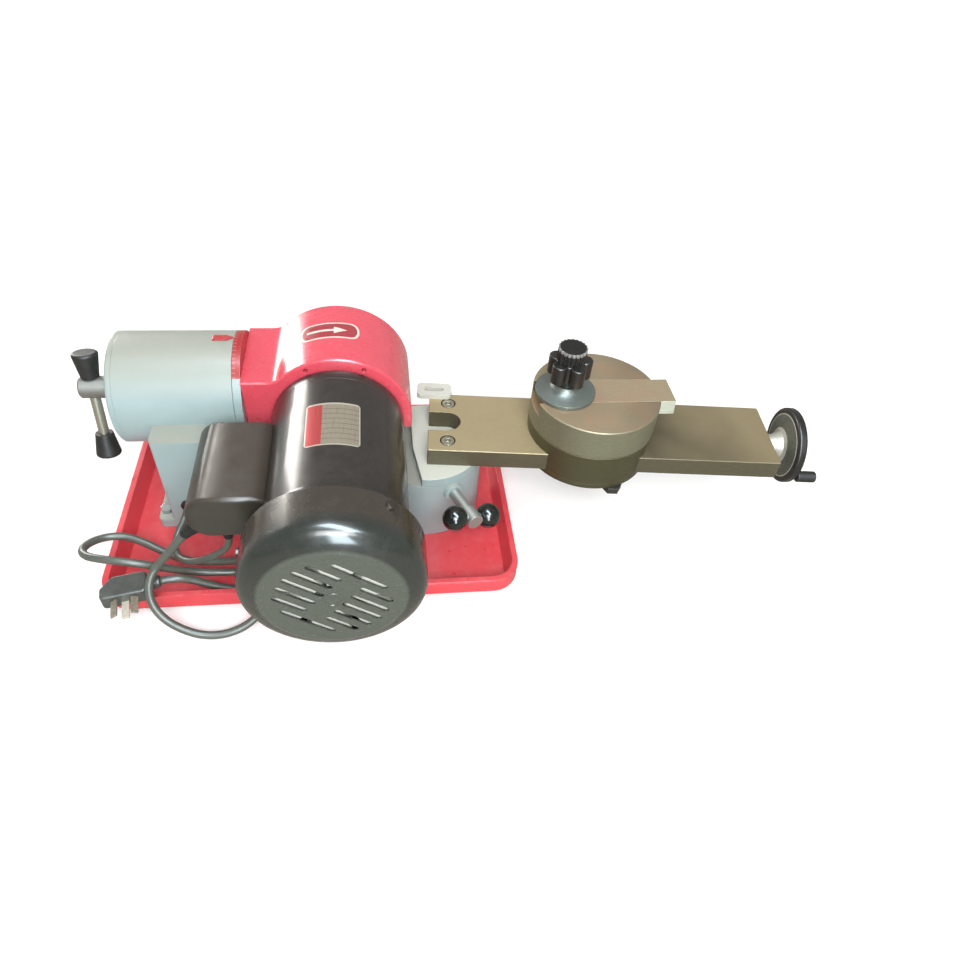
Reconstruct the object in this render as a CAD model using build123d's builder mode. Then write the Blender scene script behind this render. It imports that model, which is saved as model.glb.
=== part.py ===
from build123d import *
from math import atan, cos, degrees, radians, sin, sqrt, tan
import os

os.makedirs("parts", exist_ok=True)

# Bench sharpener for circular saw blades. A grinding head tilts and feeds on a barrel, and an arm swivels
# beside it with a screw-driven slide that carries the blade seat. Millimetres, +Z up, +X towards the arm,
# -Y towards the motor's fan end. The origin is the middle of the tray's underside.

# Fits
RUN = 0.05
SEAT = 0.02
AIR = 0.3

# Drip tray, pressed from sheet with flared walls and a flat hem
TRAY_WIDTH = 396.0
TRAY_DEPTH = 270.0
TRAY_HEIGHT = 21.0
TRAY_HEM = 4.0
TRAY_FLARE = 7.0
TRAY_CORNER = 16.0
SHEET = 1.5

# Head column: a cast pillar with a horizontal barrel on top
PILLAR_LEFT = -150.0
PILLAR_RIGHT = -72.4
PILLAR_FRONT = -32.0
PILLAR_BACK = 88.0
PILLAR_TOP = 118.0
PILLAR_WALL = 8.0
PILLAR_POCKET = 52.0
PILLAR_ROUND = 6.0
FOOT_LEDGE = 14.0
FOOT_HEIGHT = 10.0
BARREL_Y = 48.0
BARREL_Z = 122.5
BARREL_RADIUS = 54.5
BARREL_LEFT = -180.0
BARREL_BORE = 40.0
BARREL_RIGHT = PILLAR_RIGHT
END_CAP = 5.6
POINTER_LEAN = 3.0
POINTER_LENGTH = 19.0
POINTER_WIDTH = 8.0
POINTER_THICK = 1.5

# Floor bolts
BOLT_RADIUS = 4.0
BOLT_HEAD_RADIUS = 6.5
BOLT_HEAD = 5.5
BOLT_HOLE = 4.5

# Feed crank: a screw along the barrel with a sliding cross bar
FEED_SCREW_RADIUS = 8.0
FEED_SCREW_INNER = -125.0
CRANK_HUB_RADIUS = 11.0
CRANK_HUB_LEFT = -226.0
CRANK_HUB_RIGHT = -190.0
CRANK_BORE = 14.0
CROSS_BAR_X = -215.0
CROSS_BAR_RADIUS = 5.0
CROSS_BAR_LEAN = 14.0
CROSS_BAR_LENGTH = 112.0
CRANK_GRIP_LENGTH = 25.0
CRANK_GRIP_INNER = 8.5
CRANK_GRIP_OUTER = 12.5
CRANK_GRIP_CAP = 5.0

# Quill and the spigot that the head tilts on
QUILL_LEFT = -170.0
QUILL_RIGHT = -73.0
QUILL_BORE = 30.0
QUILL_END = 10.0
FEED_NUT_RADIUS = 14.0
SPIGOT_LEFT = -112.0
SPIGOT_SHANK = 25.0
SPIGOT_DEPTH = 18.0

# Grinding head: wheel guard on the motor's drive end
MOTOR_X = 24.0
MOTOR_Z = 114.0
GUARD_LEFT = -64.4
GUARD_FRONT = 2.0
GUARD_BACK = 94.4
GUARD_RADIUS = 72.5
GUARD_WALL = 4.0
GUARD_PLATE = 10.0
GUARD_COVER = 4.0
GUARD_EDGE = 2.0
SHOULDER_TOP = 160.0
SHOULDER_BOTTOM = 85.0
SHOULDER_BLEND = 20.0
SCALE_RING_BORE = 34.0
GUARD_SCREW_RADIUS = 66.0
GUARD_SCREW_ANGLE = 24.0
GUARD_SCREW_HOLE = 2.2
MOUTH_LEFT = 52.0
MOUTH_TOP = 102.0
WINDOW_LEFT = 60.0
WINDOW_WIDTH = 54.0
WINDOW_TOP = 116.0

# Motor
MOTOR_RADIUS = 64.0
MOTOR_WALL = 4.0
FLANGE_RADIUS = 64.0
FLANGE_ROUND = 7.0
FLANGE_THICK = 16.0
FLANGE_SPIGOT = 40.0
FLANGE_SPIGOT_LENGTH = 6.0
REGISTER = 8.0
FRAME_BACK = -154.0
REAR_SHIELD = 10.5
BEARING_RADIUS = 20.0
BEARING_WIDTH = 12.0
SHAFT_RADIUS = 8.5
SHAFT_FRONT = -200.0
SHAFT_BACK = 72.0
STATOR_BORE = 34.0
STATOR_LENGTH = 80.0
ROTOR_GAP = 0.5
FAN_COVER_RADIUS = 76.0
FAN_FACE_RADIUS = 56.5
FAN_FACE_Y = -214.5
FAN_SHOULDER_Y = -163.0
FAN_RIM_Y = -150.0
FAN_ROUND = 18.0
FAN_SHEET = 2.0
SLOT_WIDTH = 5.0
SLOT_PITCH = 11.8
SLOT_LEAN = -38.0
SLOT_FIELD = 47.0
SLOT_GAP = 9.0
SLOT_LAST_REACH = 26.0
FAN_RADIUS = 54.0
FAN_DEPTH = 18.0
FAN_BLADES = 6
FAN_HUB_WALL = 6.0
FAN_BLADE_THICK = 2.0
COVER_SCREW_RADIUS = 4.0
COVER_SCREW_ANGLE = 52.0
COVER_SCREW_Y = -171.0
COVER_LUG = 12.5

# Terminal box on the motor's side, with its capacitor and two cable glands
BOX_LEFT = -98.0
BOX_RIGHT = -24.0
BOX_BOTTOM = 104.5
BOX_TOP = 150.0
BOX_FRONT = -137.0
BOX_BACK = -38.0
BOX_ROUND = 20.0
BOX_WALL = 2.5
BOX_EDGE = 4.0
CAPACITOR_RADIUS = 16.0
CAPACITOR_LENGTH = 70.0
CAPACITOR_X = -74.0
GLAND_TOP_RADIUS = 7.5
GLAND_TIP_RADIUS = 5.5
GLAND_LENGTH = 14.0
GLAND_SINK = 1.5
CORD_GLAND_Y = -125.0
CORD_GLAND_LEAN = 45.0
LEAD_GLAND_X = -72.0
LEAD_GLAND_Y = -118.0

# Grinding wheel
WHEEL_RADIUS = 62.5
WHEEL_WIDTH = 12.0
WHEEL_BORE = 16.0
WHEEL_FLANGE_RADIUS = 26.0
WHEEL_FLANGE = 6.0
WHEEL_NUT_RADIUS = 14.0
WHEEL_NUT = 9.0

# Arm: pedestal, swivel plate and rail. The arm stands swivelled a little towards the front.
SWIVEL_X = 112.0
SWIVEL_Y = 2.0
PEDESTAL_RADIUS = 57.5
PEDESTAL_TOP = 73.0
PEDESTAL_RELIEF = 22.0
PEDESTAL_LUG = 10.5
PEDESTAL_LUG_HEIGHT = 9.0
PEDESTAL_BOLT_CIRCLE = 66.5
PEDESTAL_BOLT_ANGLES = (60.0, 140.0, 215.0)
SWIVEL_RELIEF = 15.0
SWIVEL_RELIEF_FRONT = 8.0
SWIVEL_KINK = -10.0
PIVOT_RADIUS = 11.0
PIVOT_BOTTOM = 40.0
PIVOT_COVER = 4.0
ARM_X = 135.7
ARM_Y = 8.7
ARM_ANGLE = -5.3
RAIL_BOTTOM = 83.0
RAIL_THICK = 20.0
RAIL_WIDTH = 88.0
RAIL_START = -22.0
RAIL_LENGTH = 360.3
RAIL_EDGE = 1.0
RAIL_SLOT_WIDTH = 28.0
RAIL_SLOT_DEPTH = 33.0
RAIL_SCREW_INSET = 20.0
RAIL_SCREW_SPACING = 58.0
RAIL_SCREW_RADIUS = 4.0
RAIL_SCREW_HEAD = 6.5
RAIL_SCREW_HEAD_HEIGHT = 8.0
RAIL_SCREW_DEPTH = 9.0
RAIL_SCREW_SOCKET = 3.4
COUNTERBORE = 7.8
GROOVE_WIDTH = 18.0
GROOVE_DEPTH = 13.0
GROOVE_START = 46.0
GROOVE_END_WALL = 12.0

# Tooth stop on the rail's rear corner
STOP_START = -35.5
STOP_LENGTH = 36.0
STOP_WIDTH = 20.0
STOP_OVERLAP = 9.0
STOP_THICK = 5.5
STOP_LEG = 17.0
STOP_SLOT_WIDTH = 6.0
STOP_SLOT_LENGTH = 20.0

# Swivel clamp on the pedestal
CLAMP_ANGLE = -66.4
CLAMP_Z = 62.0
CLAMP_REACH = 97.2
CLAMP_SCREW_RADIUS = 6.0
CLAMP_HUB_RADIUS = 8.0
CLAMP_BAR_RADIUS = 4.0
CLAMP_BAR_HALF = 20.5
CLAMP_BAR_LEAN = -21.6
CLAMP_BALL_RADIUS = 12.5
CLAMP_BOSS_RADIUS = 10.0
CLAMP_BOSS = 4.0

# Lead screw and handwheel
LEAD_RADIUS = 5.0
LEAD_Z = 89.5
LEAD_JOURNAL = 8.0
HANDWHEEL_GAP = 2.0
HANDWHEEL_HUB = 26.0
HANDWHEEL_HUB_RADIUS = 10.0
HANDWHEEL_RADIUS = 40.0
HANDWHEEL_RIM = 6.0
HANDWHEEL_RIM_DEPTH = 9.0
HANDWHEEL_WEB = 4.0
GRIP_ANGLE = 200.0
GRIP_RADIUS = 6.0
GRIP_LENGTH = 20.0
GRIP_PIN_RADIUS = 2.5

# Slide on the rail and the blade seat above it
SLIDE_POSITION = 144.6
SLIDE_RADIUS = 64.0
SLIDE_TOP = 117.6
SLIDE_FLAT = 52.0
SLIDE_CLEAR = 0.15
KEEPER_THICK = 5.5
LEAD_NUT_WIDTH = 15.0
LEAD_NUT_LENGTH = 30.0
LEAD_NUT_HEIGHT = 12.0
LOCK_X = 22.0
LOCK_Y = -55.0
LOCK_RADIUS = 10.0
LOCK_HEAD = 7.0
LOCK_SHANK = 3.0
TURNTABLE_HEIGHT = 33.0
TURNTABLE_PIVOT = 10.0
TURNTABLE_PIVOT_HEIGHT = 14.0
TURNTABLE_ANGLE = 0.0
BAR_TOP_WIDTH = 35.0
BAR_BOTTOM_WIDTH = 40.0
BAR_THICK = 14.0
BAR_START = -52.0
BAR_END = 77.0
SPINDLE_OFFSET = -33.0
SPINDLE_RADIUS = 6.0
SPINDLE_ENTRY = 8.8
CONE_RADIUS = 29.8
CONE_RIM = 3.5
CONE_TOP_RADIUS = 13.0
CONE_HEIGHT = 12.0
STAR_HEIGHT = 26.0
STAR_SKIRT = 7.0
STAR_SKIRT_RADIUS = 12.0
STAR_CORE = 14.0
STAR_LOBES = 5
STAR_LOBE_RADIUS = 7.5
STAR_LOBE_CIRCLE = 14.5
STAR_EDGE = 1.5
KNURL_RADIUS = 14.0
KNURL_HEIGHT = 14.0
KNURL_TEETH = 20
KNURL_DEPTH = 1.4

# Rear rocker switch on the pillar
SWITCH_X = -110.0
SWITCH_Z = 60.0
SWITCH_WIDTH = 32.0
SWITCH_HEIGHT = 26.0
SWITCH_DEPTH = 7.0
SWITCH_WALL = 4.0
ROCKER_PIN = 2.0
ROCKER_PROUD = 3.0

# Mains cord with its plug, and the lead that runs down to the column
CORD_DIAMETER = 7.5
LEAD_DIAMETER = 6.5
ROUTE_EASE = 0.45
CORD_LEAVE = 14.0
PLUG_X = -171.0
PLUG_Y = -131.0
PLUG_Z = 29.1
PLUG_TURN = 12.0
PLUG_BODY = 24.0
PLUG_WIDTH = 40.0
PLUG_SHOULDER = 30.0
PLUG_THICK = 16.0
PLUG_EDGE = 4.0
PLUG_NECK = 10.0
PLUG_NECK_BACK = 2.0
PLUG_NECK_RADIUS = 6.5
PLUG_TAIL_RADIUS = 5.5
PIN_WIDTH = 6.3
PIN_THICK = 1.6
PIN_LENGTH = 18.0
PIN_SPREAD = 8.5
PIN_LIFT = 2.5
PIN_LEAN = 60.0
EARTH_DROP = 2.5
GROMMET_RADIUS = 7.0
GROMMET_DEPTH = 3.0
GROMMET_X = -130.0
GROMMET_Z = 33.5

# Worked-out places
FLOOR = SHEET
PILLAR_X = (PILLAR_LEFT + PILLAR_RIGHT) / 2
PILLAR_Y = (PILLAR_FRONT + PILLAR_BACK) / 2
PILLAR_WIDTH = PILLAR_RIGHT - PILLAR_LEFT
PILLAR_DEPTH = PILLAR_BACK - PILLAR_FRONT
WHEEL_Y = BARREL_Y
RAIL_TOP = RAIL_BOTTOM + RAIL_THICK
RAIL_END = RAIL_START + RAIL_LENGTH
SEAT_TOP = SLIDE_TOP + AIR + TURNTABLE_HEIGHT
CONE_BOTTOM = SEAT_TOP + AIR
CONE_TOP = CONE_BOTTOM + CONE_HEIGHT
STAR_BOTTOM = CONE_TOP + AIR
STAR_TOP = STAR_BOTTOM + STAR_HEIGHT
SPINDLE_TOP = STAR_TOP + SPINDLE_ENTRY
ARM_DIR = Vector(cos(radians(ARM_ANGLE)), sin(radians(ARM_ANGLE)), 0)
SLIDE_X = ARM_X + SLIDE_POSITION * ARM_DIR.X
SLIDE_Y = ARM_Y + SLIDE_POSITION * ARM_DIR.Y
SPINDLE_X = SLIDE_X + SPINDLE_OFFSET * cos(radians(TURNTABLE_ANGLE))
SPINDLE_Y = SLIDE_Y + SPINDLE_OFFSET * sin(radians(TURNTABLE_ANGLE))


def across(x):
    """Plane across the barrel at x: local x is +Y, local y is +Z, normal +X."""
    return Plane(origin=(x, BARREL_Y, BARREL_Z), x_dir=(0, 1, 0), z_dir=(1, 0, 0))


def facing(y):
    """Upright plane at y in object coordinates: local x is +X, local y is +Z, normal -Y."""
    return Plane(origin=(0, y, 0), x_dir=(1, 0, 0), z_dir=(0, -1, 0))


def motor_face(y):
    """Upright plane at y centred on the motor's axis, normal -Y."""
    return Plane(origin=(MOTOR_X, y, MOTOR_Z), x_dir=(1, 0, 0), z_dir=(0, -1, 0))


def arm_plane(z):
    """Level plane at z, centred on the rail's datum, with local x along the rail."""
    return Plane(origin=(ARM_X, ARM_Y, z), x_dir=ARM_DIR, z_dir=(0, 0, 1))


def swivel_plane(z):
    """Level plane at z, centred on the swivel's axis."""
    return Plane(origin=(SWIVEL_X, SWIVEL_Y, z), x_dir=(1, 0, 0), z_dir=(0, 0, 1))


def rail_section(position):
    """Plane across the lead screw: local x is the rail's left side, local y is +Z, normal along the rail."""
    centre = Vector(ARM_X, ARM_Y, LEAD_Z) + ARM_DIR * position
    return Plane(origin=centre, x_dir=(-ARM_DIR.Y, ARM_DIR.X, 0), z_dir=ARM_DIR)


def seat_plane(z):
    """Level plane at z, centred on the slide, with local x along the blade bar."""
    angle = radians(TURNTABLE_ANGLE)
    return Plane(origin=(SLIDE_X, SLIDE_Y, z), x_dir=(cos(angle), sin(angle), 0), z_dir=(0, 0, 1))


def slide_plane(z):
    """Level plane at z, centred on the slide, with local x along the rail."""
    return Plane(origin=(SLIDE_X, SLIDE_Y, z), x_dir=ARM_DIR, z_dir=(0, 0, 1))


def upright_profile(x, y):
    """Plane for a profile of radius against height, turned about the upright line through x, y."""
    return Plane(origin=(x, y, 0), x_dir=(1, 0, 0), z_dir=(0, -1, 0))


MOTOR_PROFILE = Plane(origin=(MOTOR_X, 0, MOTOR_Z), x_dir=(1, 0, 0), z_dir=(0, 0, 1))
MOTOR_AXIS = Axis((MOTOR_X, 0, MOTOR_Z), (0, 1, 0))

# Floor bolt places: two on each ledge of the column's foot, one in each pedestal lug
FOOT_BOLT_X = PILLAR_WIDTH / 2 + FOOT_LEDGE / 2
FOOT_BOLT_Y = PILLAR_DEPTH / 2 - FOOT_LEDGE
FOOT_BOLTS = [
    (PILLAR_X + side * FOOT_BOLT_X, PILLAR_Y + end * FOOT_BOLT_Y) for side in (-1, 1) for end in (-1, 1)
]
PEDESTAL_BOLTS = [
    (
        SWIVEL_X + PEDESTAL_BOLT_CIRCLE * cos(radians(angle)),
        SWIVEL_Y + PEDESTAL_BOLT_CIRCLE * sin(radians(angle)),
    )
    for angle in PEDESTAL_BOLT_ANGLES
]

# Drip tray
FLARE_ANGLE = degrees(atan(TRAY_FLARE / TRAY_HEIGHT))
FLOOR_WIDTH = TRAY_WIDTH - 2 * (TRAY_HEM + TRAY_FLARE)
FLOOR_DEPTH = TRAY_DEPTH - 2 * (TRAY_HEM + TRAY_FLARE)
WALL_OFFSET = SHEET / cos(radians(FLARE_ANGLE)) - TRAY_FLARE * SHEET / TRAY_HEIGHT
with BuildPart() as drip_tray:
    with BuildSketch():
        RectangleRounded(FLOOR_WIDTH, FLOOR_DEPTH, TRAY_CORNER)
    extrude(amount=TRAY_HEIGHT, taper=-FLARE_ANGLE)
    with BuildSketch(Plane.XY.offset(TRAY_HEIGHT - SHEET)):
        RectangleRounded(TRAY_WIDTH, TRAY_DEPTH, TRAY_CORNER + TRAY_FLARE + TRAY_HEM)
    extrude(amount=SHEET)
    with BuildSketch(Plane.XY.offset(SHEET)):
        RectangleRounded(FLOOR_WIDTH - 2 * WALL_OFFSET, FLOOR_DEPTH - 2 * WALL_OFFSET, TRAY_CORNER)
    extrude(amount=TRAY_HEIGHT, taper=-FLARE_ANGLE, mode=Mode.SUBTRACT)
    with BuildSketch():
        with Locations(*FOOT_BOLTS, *PEDESTAL_BOLTS):
            Circle(BOLT_HOLE)
    extrude(amount=SHEET, mode=Mode.SUBTRACT)

# Head column
with BuildPart() as head_column:
    with BuildSketch(Plane.XY.offset(FLOOR)):
        with Locations((PILLAR_X, PILLAR_Y)):
            RectangleRounded(PILLAR_WIDTH + 2 * FOOT_LEDGE, PILLAR_DEPTH, PILLAR_ROUND)
    extrude(amount=FOOT_HEIGHT)
    with BuildSketch(Plane.XY.offset(FLOOR)):
        with Locations((PILLAR_X, PILLAR_Y)):
            RectangleRounded(PILLAR_WIDTH, PILLAR_DEPTH, PILLAR_ROUND)
    extrude(amount=PILLAR_TOP - FLOOR)
    with BuildSketch(across(BARREL_LEFT)):
        Circle(BARREL_RADIUS)
    extrude(amount=BARREL_RIGHT - BARREL_LEFT)
    with BuildSketch(Plane.XY.offset(FLOOR)):
        with Locations((PILLAR_X, PILLAR_Y)):
            RectangleRounded(PILLAR_WIDTH - 2 * PILLAR_WALL, PILLAR_DEPTH - 2 * PILLAR_WALL, PILLAR_ROUND)
    extrude(amount=PILLAR_POCKET, mode=Mode.SUBTRACT)
    with BuildSketch(across(BARREL_LEFT)):
        Circle(BARREL_BORE)
    extrude(amount=BARREL_RIGHT - BARREL_LEFT, mode=Mode.SUBTRACT)
    with BuildSketch(Plane.XY.offset(FLOOR)):
        with Locations(*FOOT_BOLTS):
            Circle(BOLT_HOLE)
    extrude(amount=FOOT_HEIGHT, mode=Mode.SUBTRACT)

# Floor bolts: hexagon heads on the feet, shanks that end level with the tray's underside
with BuildPart() as floor_bolts:
    for places, height in ((FOOT_BOLTS, FOOT_HEIGHT), (PEDESTAL_BOLTS, PEDESTAL_LUG_HEIGHT)):
        with BuildSketch(Plane.XY.offset(FLOOR + height)):
            with Locations(*places):
                RegularPolygon(BOLT_HEAD_RADIUS, 6)
        extrude(amount=BOLT_HEAD)
        with BuildSketch():
            with Locations(*places):
                Circle(BOLT_RADIUS)
        extrude(amount=FLOOR + height)

# Barrel end cap with the feed screw's bush
with BuildPart() as barrel_end_cap:
    with BuildSketch(across(BARREL_LEFT - END_CAP)):
        Circle(BARREL_RADIUS)
        Circle(FEED_SCREW_RADIUS + RUN, mode=Mode.SUBTRACT)
    extrude(amount=END_CAP)
    chamfer(faces().sort_by(Axis.X)[0].outer_wire().edges(), END_CAP / 4)

# Tilt pointer: a small arrow plate that lies on the barrel beside the scale
lean = radians(POINTER_LEAN)
POINTER_NORMAL = Vector(0, sin(lean), cos(lean))
POINTER_SEAT = Vector(BARREL_RIGHT - AIR, BARREL_Y, BARREL_Z) + POINTER_NORMAL * BARREL_RADIUS
with BuildPart() as tilt_pointer:
    with BuildSketch(Plane(origin=POINTER_SEAT, x_dir=(1, 0, 0), z_dir=POINTER_NORMAL)):
        with BuildLine():
            Polyline(
                (-POINTER_LENGTH, POINTER_WIDTH / 2),
                (-POINTER_LENGTH, -POINTER_WIDTH / 2),
                (-POINTER_LENGTH / 3, -POINTER_WIDTH / 2),
                (0, 0),
                (-POINTER_LENGTH / 3, POINTER_WIDTH / 2),
                close=True,
            )
        make_face()
    extrude(amount=POINTER_THICK)

# Feed screw
with BuildPart() as feed_screw:
    with BuildSketch(across(CRANK_HUB_RIGHT - CRANK_BORE)):
        Circle(FEED_SCREW_RADIUS - SEAT)
    extrude(amount=FEED_SCREW_INNER - CRANK_HUB_RIGHT + CRANK_BORE)
    chamfer(edges().sort_by(Axis.X)[-1], 1.0)

# Crank hub, bored across for the sliding bar
bar_lean = radians(CROSS_BAR_LEAN)
BAR_DIR = Vector(0, sin(bar_lean), cos(bar_lean))
BAR_SIDE = Vector(1, 0, 0).cross(BAR_DIR)
CROSS_BAR_CENTRE = Vector(CROSS_BAR_X, BARREL_Y, BARREL_Z)
with BuildPart() as crank_hub:
    with BuildSketch(across(CRANK_HUB_LEFT)):
        Circle(CRANK_HUB_RADIUS)
    extrude(amount=CRANK_HUB_RIGHT - CRANK_HUB_LEFT)
    chamfer(edges().sort_by(Axis.X)[0], 1.5)
    with BuildSketch(across(CRANK_HUB_RIGHT - CRANK_BORE)):
        Circle(FEED_SCREW_RADIUS)
    extrude(amount=CRANK_BORE, mode=Mode.SUBTRACT)
    with BuildSketch(Plane(origin=CROSS_BAR_CENTRE, x_dir=(1, 0, 0), z_dir=BAR_DIR)):
        Circle(CROSS_BAR_RADIUS + RUN)
    extrude(amount=CRANK_HUB_RADIUS, both=True, mode=Mode.SUBTRACT)

# Cross bar and its two tapered grips, slid down until the upper grip rests on the hub
GRIP_INNER_AT = CRANK_HUB_RADIUS + AIR
BAR_TOP = GRIP_INNER_AT + CRANK_GRIP_LENGTH
BAR_BOTTOM = BAR_TOP - CROSS_BAR_LENGTH
with BuildPart() as cross_bar:
    bar_start = CROSS_BAR_CENTRE + BAR_DIR * (BAR_BOTTOM + CRANK_GRIP_CAP)
    with BuildSketch(Plane(origin=bar_start, x_dir=(1, 0, 0), z_dir=BAR_DIR)):
        Circle(CROSS_BAR_RADIUS)
    extrude(amount=CROSS_BAR_LENGTH - 2 * CRANK_GRIP_CAP)

with BuildPart() as crank_grips:
    for end, way in ((BAR_TOP, -1), (BAR_BOTTOM, 1)):
        with BuildSketch(Plane(origin=CROSS_BAR_CENTRE, x_dir=(1, 0, 0), z_dir=BAR_SIDE)):
            with BuildLine():
                Polyline(
                    (0, end),
                    (CRANK_GRIP_OUTER, end),
                    (CRANK_GRIP_INNER, end + way * CRANK_GRIP_LENGTH),
                    (CROSS_BAR_RADIUS + SEAT, end + way * CRANK_GRIP_LENGTH),
                    (CROSS_BAR_RADIUS + SEAT, end + way * CRANK_GRIP_CAP),
                    (0, end + way * CRANK_GRIP_CAP),
                    close=True,
                )
            make_face()
        revolve(axis=Axis(CROSS_BAR_CENTRE, BAR_DIR))
    rims = edges().filter_by(GeomType.CIRCLE).group_by(SortBy.RADIUS)[-1]
    fillet(rims, CRANK_GRIP_CAP / 2)

# Quill with its feed nut
with BuildPart() as quill:
    with BuildSketch(across(QUILL_LEFT)):
        Circle(BARREL_BORE - RUN)
    extrude(amount=QUILL_RIGHT - QUILL_LEFT)
    with BuildSketch(across(QUILL_LEFT + QUILL_END)):
        Circle(QUILL_BORE)
    extrude(amount=QUILL_RIGHT - QUILL_LEFT - QUILL_END, mode=Mode.SUBTRACT)
    with BuildSketch(across(QUILL_LEFT)):
        Circle(FEED_NUT_RADIUS)
    extrude(amount=QUILL_END, mode=Mode.SUBTRACT)

with BuildPart() as feed_nut:
    with BuildSketch(across(QUILL_LEFT)):
        Circle(FEED_NUT_RADIUS - SEAT)
    extrude(amount=2 * QUILL_END)
    with BuildSketch(across(QUILL_LEFT)):
        Circle(FEED_SCREW_RADIUS + RUN)
    extrude(amount=2 * QUILL_END, mode=Mode.SUBTRACT)

# Spigot that carries the head in the quill
with BuildPart() as tilt_spigot:
    with BuildSketch(across(SPIGOT_LEFT)):
        Circle(QUILL_BORE - RUN)
    extrude(amount=GUARD_LEFT - SPIGOT_LEFT)
    with BuildSketch(across(GUARD_LEFT)):
        Circle(SPIGOT_SHANK - SEAT)
    extrude(amount=SPIGOT_DEPTH)

# Scale ring on the head beside the barrel
with BuildPart() as scale_ring:
    with BuildSketch(across(BARREL_RIGHT + AIR)):
        Circle(BARREL_RADIUS)
        Circle(SCALE_RING_BORE, mode=Mode.SUBTRACT)
    extrude(amount=GUARD_LEFT - BARREL_RIGHT - AIR)

# Wheel guard: a hooded casting with a shoulder that meets the barrel
SHOULDER_WIDTH = MOTOR_X - GUARD_LEFT
SHOULDER_MID = (SHOULDER_TOP + SHOULDER_BOTTOM) / 2
HOOD_MEETS_TOP = MOTOR_X - sqrt(GUARD_RADIUS**2 - (SHOULDER_TOP - MOTOR_Z) ** 2)
HOOD_MEETS_BOTTOM = MOTOR_X - sqrt(GUARD_RADIUS**2 - (SHOULDER_BOTTOM - MOTOR_Z) ** 2)
HOOD_RIGHT = MOTOR_X + GUARD_RADIUS
GUARD_BOTTOM = MOTOR_Z - GUARD_RADIUS
GUARD_RIM = GUARD_BACK - GUARD_COVER


def guard_outline():
    """The guard's outline seen along the motor's axis, in object coordinates."""
    with BuildSketch(mode=Mode.PRIVATE) as outline:
        with Locations((MOTOR_X, MOTOR_Z)):
            Circle(GUARD_RADIUS)
        with Locations((GUARD_LEFT + SHOULDER_WIDTH / 2, SHOULDER_MID)):
            Rectangle(SHOULDER_WIDTH, SHOULDER_TOP - SHOULDER_BOTTOM)
        for corner in ((HOOD_MEETS_TOP, SHOULDER_TOP), (HOOD_MEETS_BOTTOM, SHOULDER_BOTTOM)):
            fillet(outline.vertices().sort_by_distance(corner)[0], SHOULDER_BLEND)
        with Locations(((MOUTH_LEFT + HOOD_RIGHT) / 2, (GUARD_BOTTOM + MOUTH_TOP) / 2)):
            Rectangle(HOOD_RIGHT - MOUTH_LEFT, MOUTH_TOP - GUARD_BOTTOM, mode=Mode.SUBTRACT)
    return outline.sketch


GUARD_OUTLINE = guard_outline()
with BuildPart() as wheel_guard:
    with BuildSketch(facing(GUARD_RIM)):
        add(GUARD_OUTLINE)
    extrude(amount=GUARD_RIM - GUARD_FRONT)
    fillet(wheel_guard.faces().sort_by(Axis.Y)[0].outer_wire().edges(), GUARD_EDGE)
    with BuildSketch(motor_face(GUARD_RIM)):
        Circle(GUARD_RADIUS - GUARD_WALL)
    extrude(amount=GUARD_RIM - GUARD_FRONT - GUARD_PLATE, mode=Mode.SUBTRACT)
    with BuildSketch(motor_face(GUARD_FRONT + GUARD_PLATE)):
        Circle(FLANGE_SPIGOT)
    extrude(amount=GUARD_PLATE, mode=Mode.SUBTRACT)
    with BuildSketch(motor_face(GUARD_FRONT + GUARD_PLATE)):
        with PolarLocations(GUARD_SCREW_RADIUS, 2, 90 - GUARD_SCREW_ANGLE, 4 * GUARD_SCREW_ANGLE):
            Circle(GUARD_SCREW_HOLE)
    extrude(amount=GUARD_PLATE, mode=Mode.SUBTRACT)
    with BuildSketch(across(GUARD_LEFT)):
        Circle(SPIGOT_SHANK)
    extrude(amount=SPIGOT_DEPTH, mode=Mode.SUBTRACT)
    with BuildSketch(facing(WHEEL_Y + WINDOW_WIDTH / 2)):
        with Locations(((WINDOW_LEFT + HOOD_RIGHT) / 2, (MOUTH_TOP + WINDOW_TOP) / 2)):
            Rectangle(HOOD_RIGHT - WINDOW_LEFT, WINDOW_TOP - MOUTH_TOP)
    extrude(amount=WINDOW_WIDTH, mode=Mode.SUBTRACT)

with BuildPart() as guard_cover:
    with BuildSketch(facing(GUARD_BACK)):
        add(GUARD_OUTLINE)
    extrude(amount=GUARD_COVER)
    fillet(guard_cover.faces().sort_by(Axis.Y)[-1].outer_wire().edges(), 1.5)

# Motor frame and end shields
FLANGE_FRONT = GUARD_FRONT - FLANGE_THICK
with BuildPart() as motor_frame:
    with BuildSketch(motor_face(FLANGE_FRONT)):
        Circle(MOTOR_RADIUS)
        Circle(MOTOR_RADIUS - MOTOR_WALL, mode=Mode.SUBTRACT)
    extrude(amount=FLANGE_FRONT - FRAME_BACK)

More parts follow.
